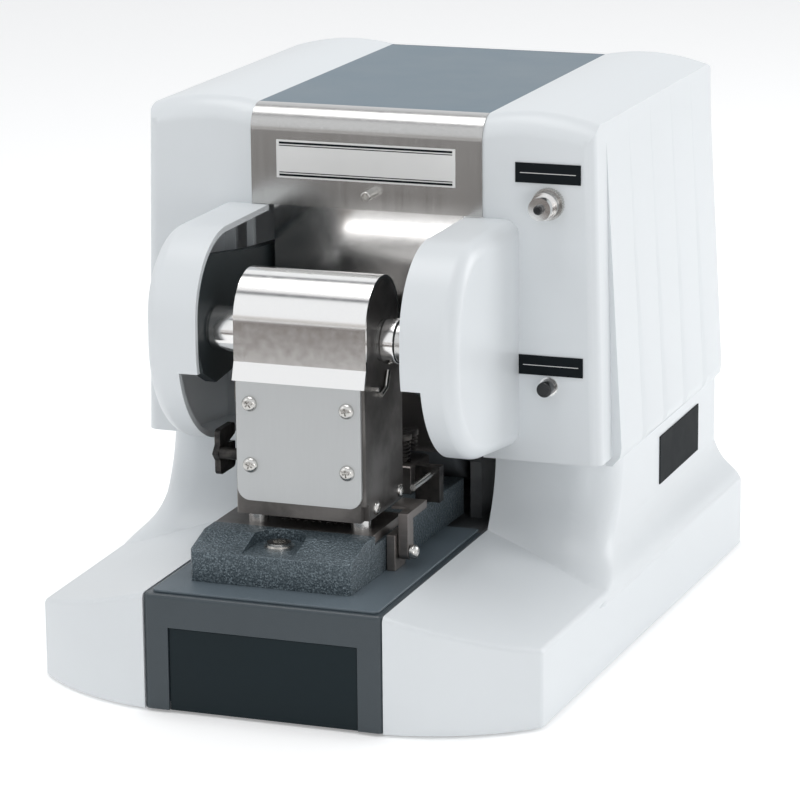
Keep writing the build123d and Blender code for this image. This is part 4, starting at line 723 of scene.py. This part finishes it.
def laySheet(name, paperName, look, acrossX, acrossY, level):
    (left, right), (near, far) = acrossX, acrossY
    mesh = bpy.data.meshes.new(name)
    mesh.from_pydata([(left, near, level), (right, near, level), (right, far, level), (left, far, level)],
                     [], [(0, 1, 2, 3)])
    material, tree, shader = startMaterial(paperName, look)
    shader.inputs["Emission Color"].default_value = (1, 1, 1, 1)
    shader.inputs["Emission Strength"].default_value = look.get("glow", 0.0)
    mesh.materials.append(material)
    return addObject(name, mesh)


def layFloor():
    look = studio["floor"]
    span = (-look["half"], look["half"])
    floor = laySheet("floor", "floorPaper", look, span, span, cadLow.z)


def layCard():
    look = studio["card"]
    card = laySheet("darkCard", "cardPaper", look, look["x"], look["y"], cadLow.z + look["lift"])
    card.visible_camera = card.visible_diffuse = card.visible_shadow = False


def hangLights():
    for name, place, size, power in studio["lights"]:
        lamp = bpy.data.lights.new(name, "AREA")
        lamp.shape = "RECTANGLE"
        lamp.size, lamp.size_y = size
        lamp.energy = power
        holder = addObject(name, lamp)
        holder.location = place
        aim = Vector(studio["lampsAimAt"]) - Vector(place)
        holder.rotation_euler = aim.to_track_quat("-Z", "Y").to_euler()


def paintWorld():
    world = bpy.data.worlds.new("studioAir")
    bpy.context.scene.world = world
    world.use_nodes = True
    tree = world.node_tree
    air = tree.nodes["Background"]
    # polished metal mirrors a brighter room than the one that lights the rest
    brightness = addNode(tree, "ShaderNodeMath", operation="MULTIPLY_ADD")
    brightness.inputs[1].default_value = studio["mirrored"]
    brightness.inputs[2].default_value = studio["world"]
    direction = addNode(tree, "ShaderNodeTexCoord")
    height = addNode(tree, "ShaderNodeSeparateXYZ")
    band = addNode(tree, "ShaderNodeValToRGB")
    ramp = band.color_ramp
    for end, toneName in ((0, "nadirTone"), (1, "zenithTone")):
        ramp.elements[end].position = end
        ramp.elements[end].color = (*studio[toneName], 1)
    for position, tone in studio["roomTones"]:
        ramp.elements.new(position).color = (*tone, 1)
    lift = addNode(tree, "ShaderNodeMapRange", {"From Min": -1.0, "From Max": 1.0})
    paper = addNode(tree, "ShaderNodeBackground", {"Color": (1, 1, 1, 1), "Strength": studio["backdrop"]})
    seen = addNode(tree, "ShaderNodeLightPath")
    both = addNode(tree, "ShaderNodeMixShader")
    linkAll(tree, [
        (direction.outputs["Generated"], height.inputs[0]), (height.outputs[2], lift.inputs["Value"]),
        (lift.outputs["Result"], band.inputs[0]), (band.outputs[0], air.inputs["Color"]),
        (seen.outputs["Is Glossy Ray"], brightness.inputs[0]),
        (brightness.outputs[0], air.inputs["Strength"]),
        (seen.outputs["Is Camera Ray"], both.inputs[0]), (air.outputs[0], both.inputs[1]),
        (paper.outputs[0], both.inputs[2]), (both.outputs[0], tree.nodes["World Output"].inputs[0]),
    ])


def placeCamera():
    lens = bpy.data.cameras.new("photoCamera")
    lens.lens = photoCamera["lens"]
    lens.sensor_width = photoCamera["sensor"]
    lens.clip_start, lens.clip_end = photoCamera["clip"]
    holder = addObject("photoCamera", lens)
    turn = (Matrix.Rotation(photoCamera["yaw"], 4, "Z")
            @ Matrix.Rotation(math.pi / 2 - photoCamera["pitch"], 4, "X")
            @ Matrix.Rotation(photoCamera["roll"], 4, "Z"))
    holder.matrix_world = Matrix.Translation(photoCamera["place"]) @ turn
    bpy.context.scene.camera = holder


layFloor()
layCard()
hangLights()
paintWorld()
placeCamera()
bpy.context.scene.view_settings.view_transform = "Standard"
print("studio ready")
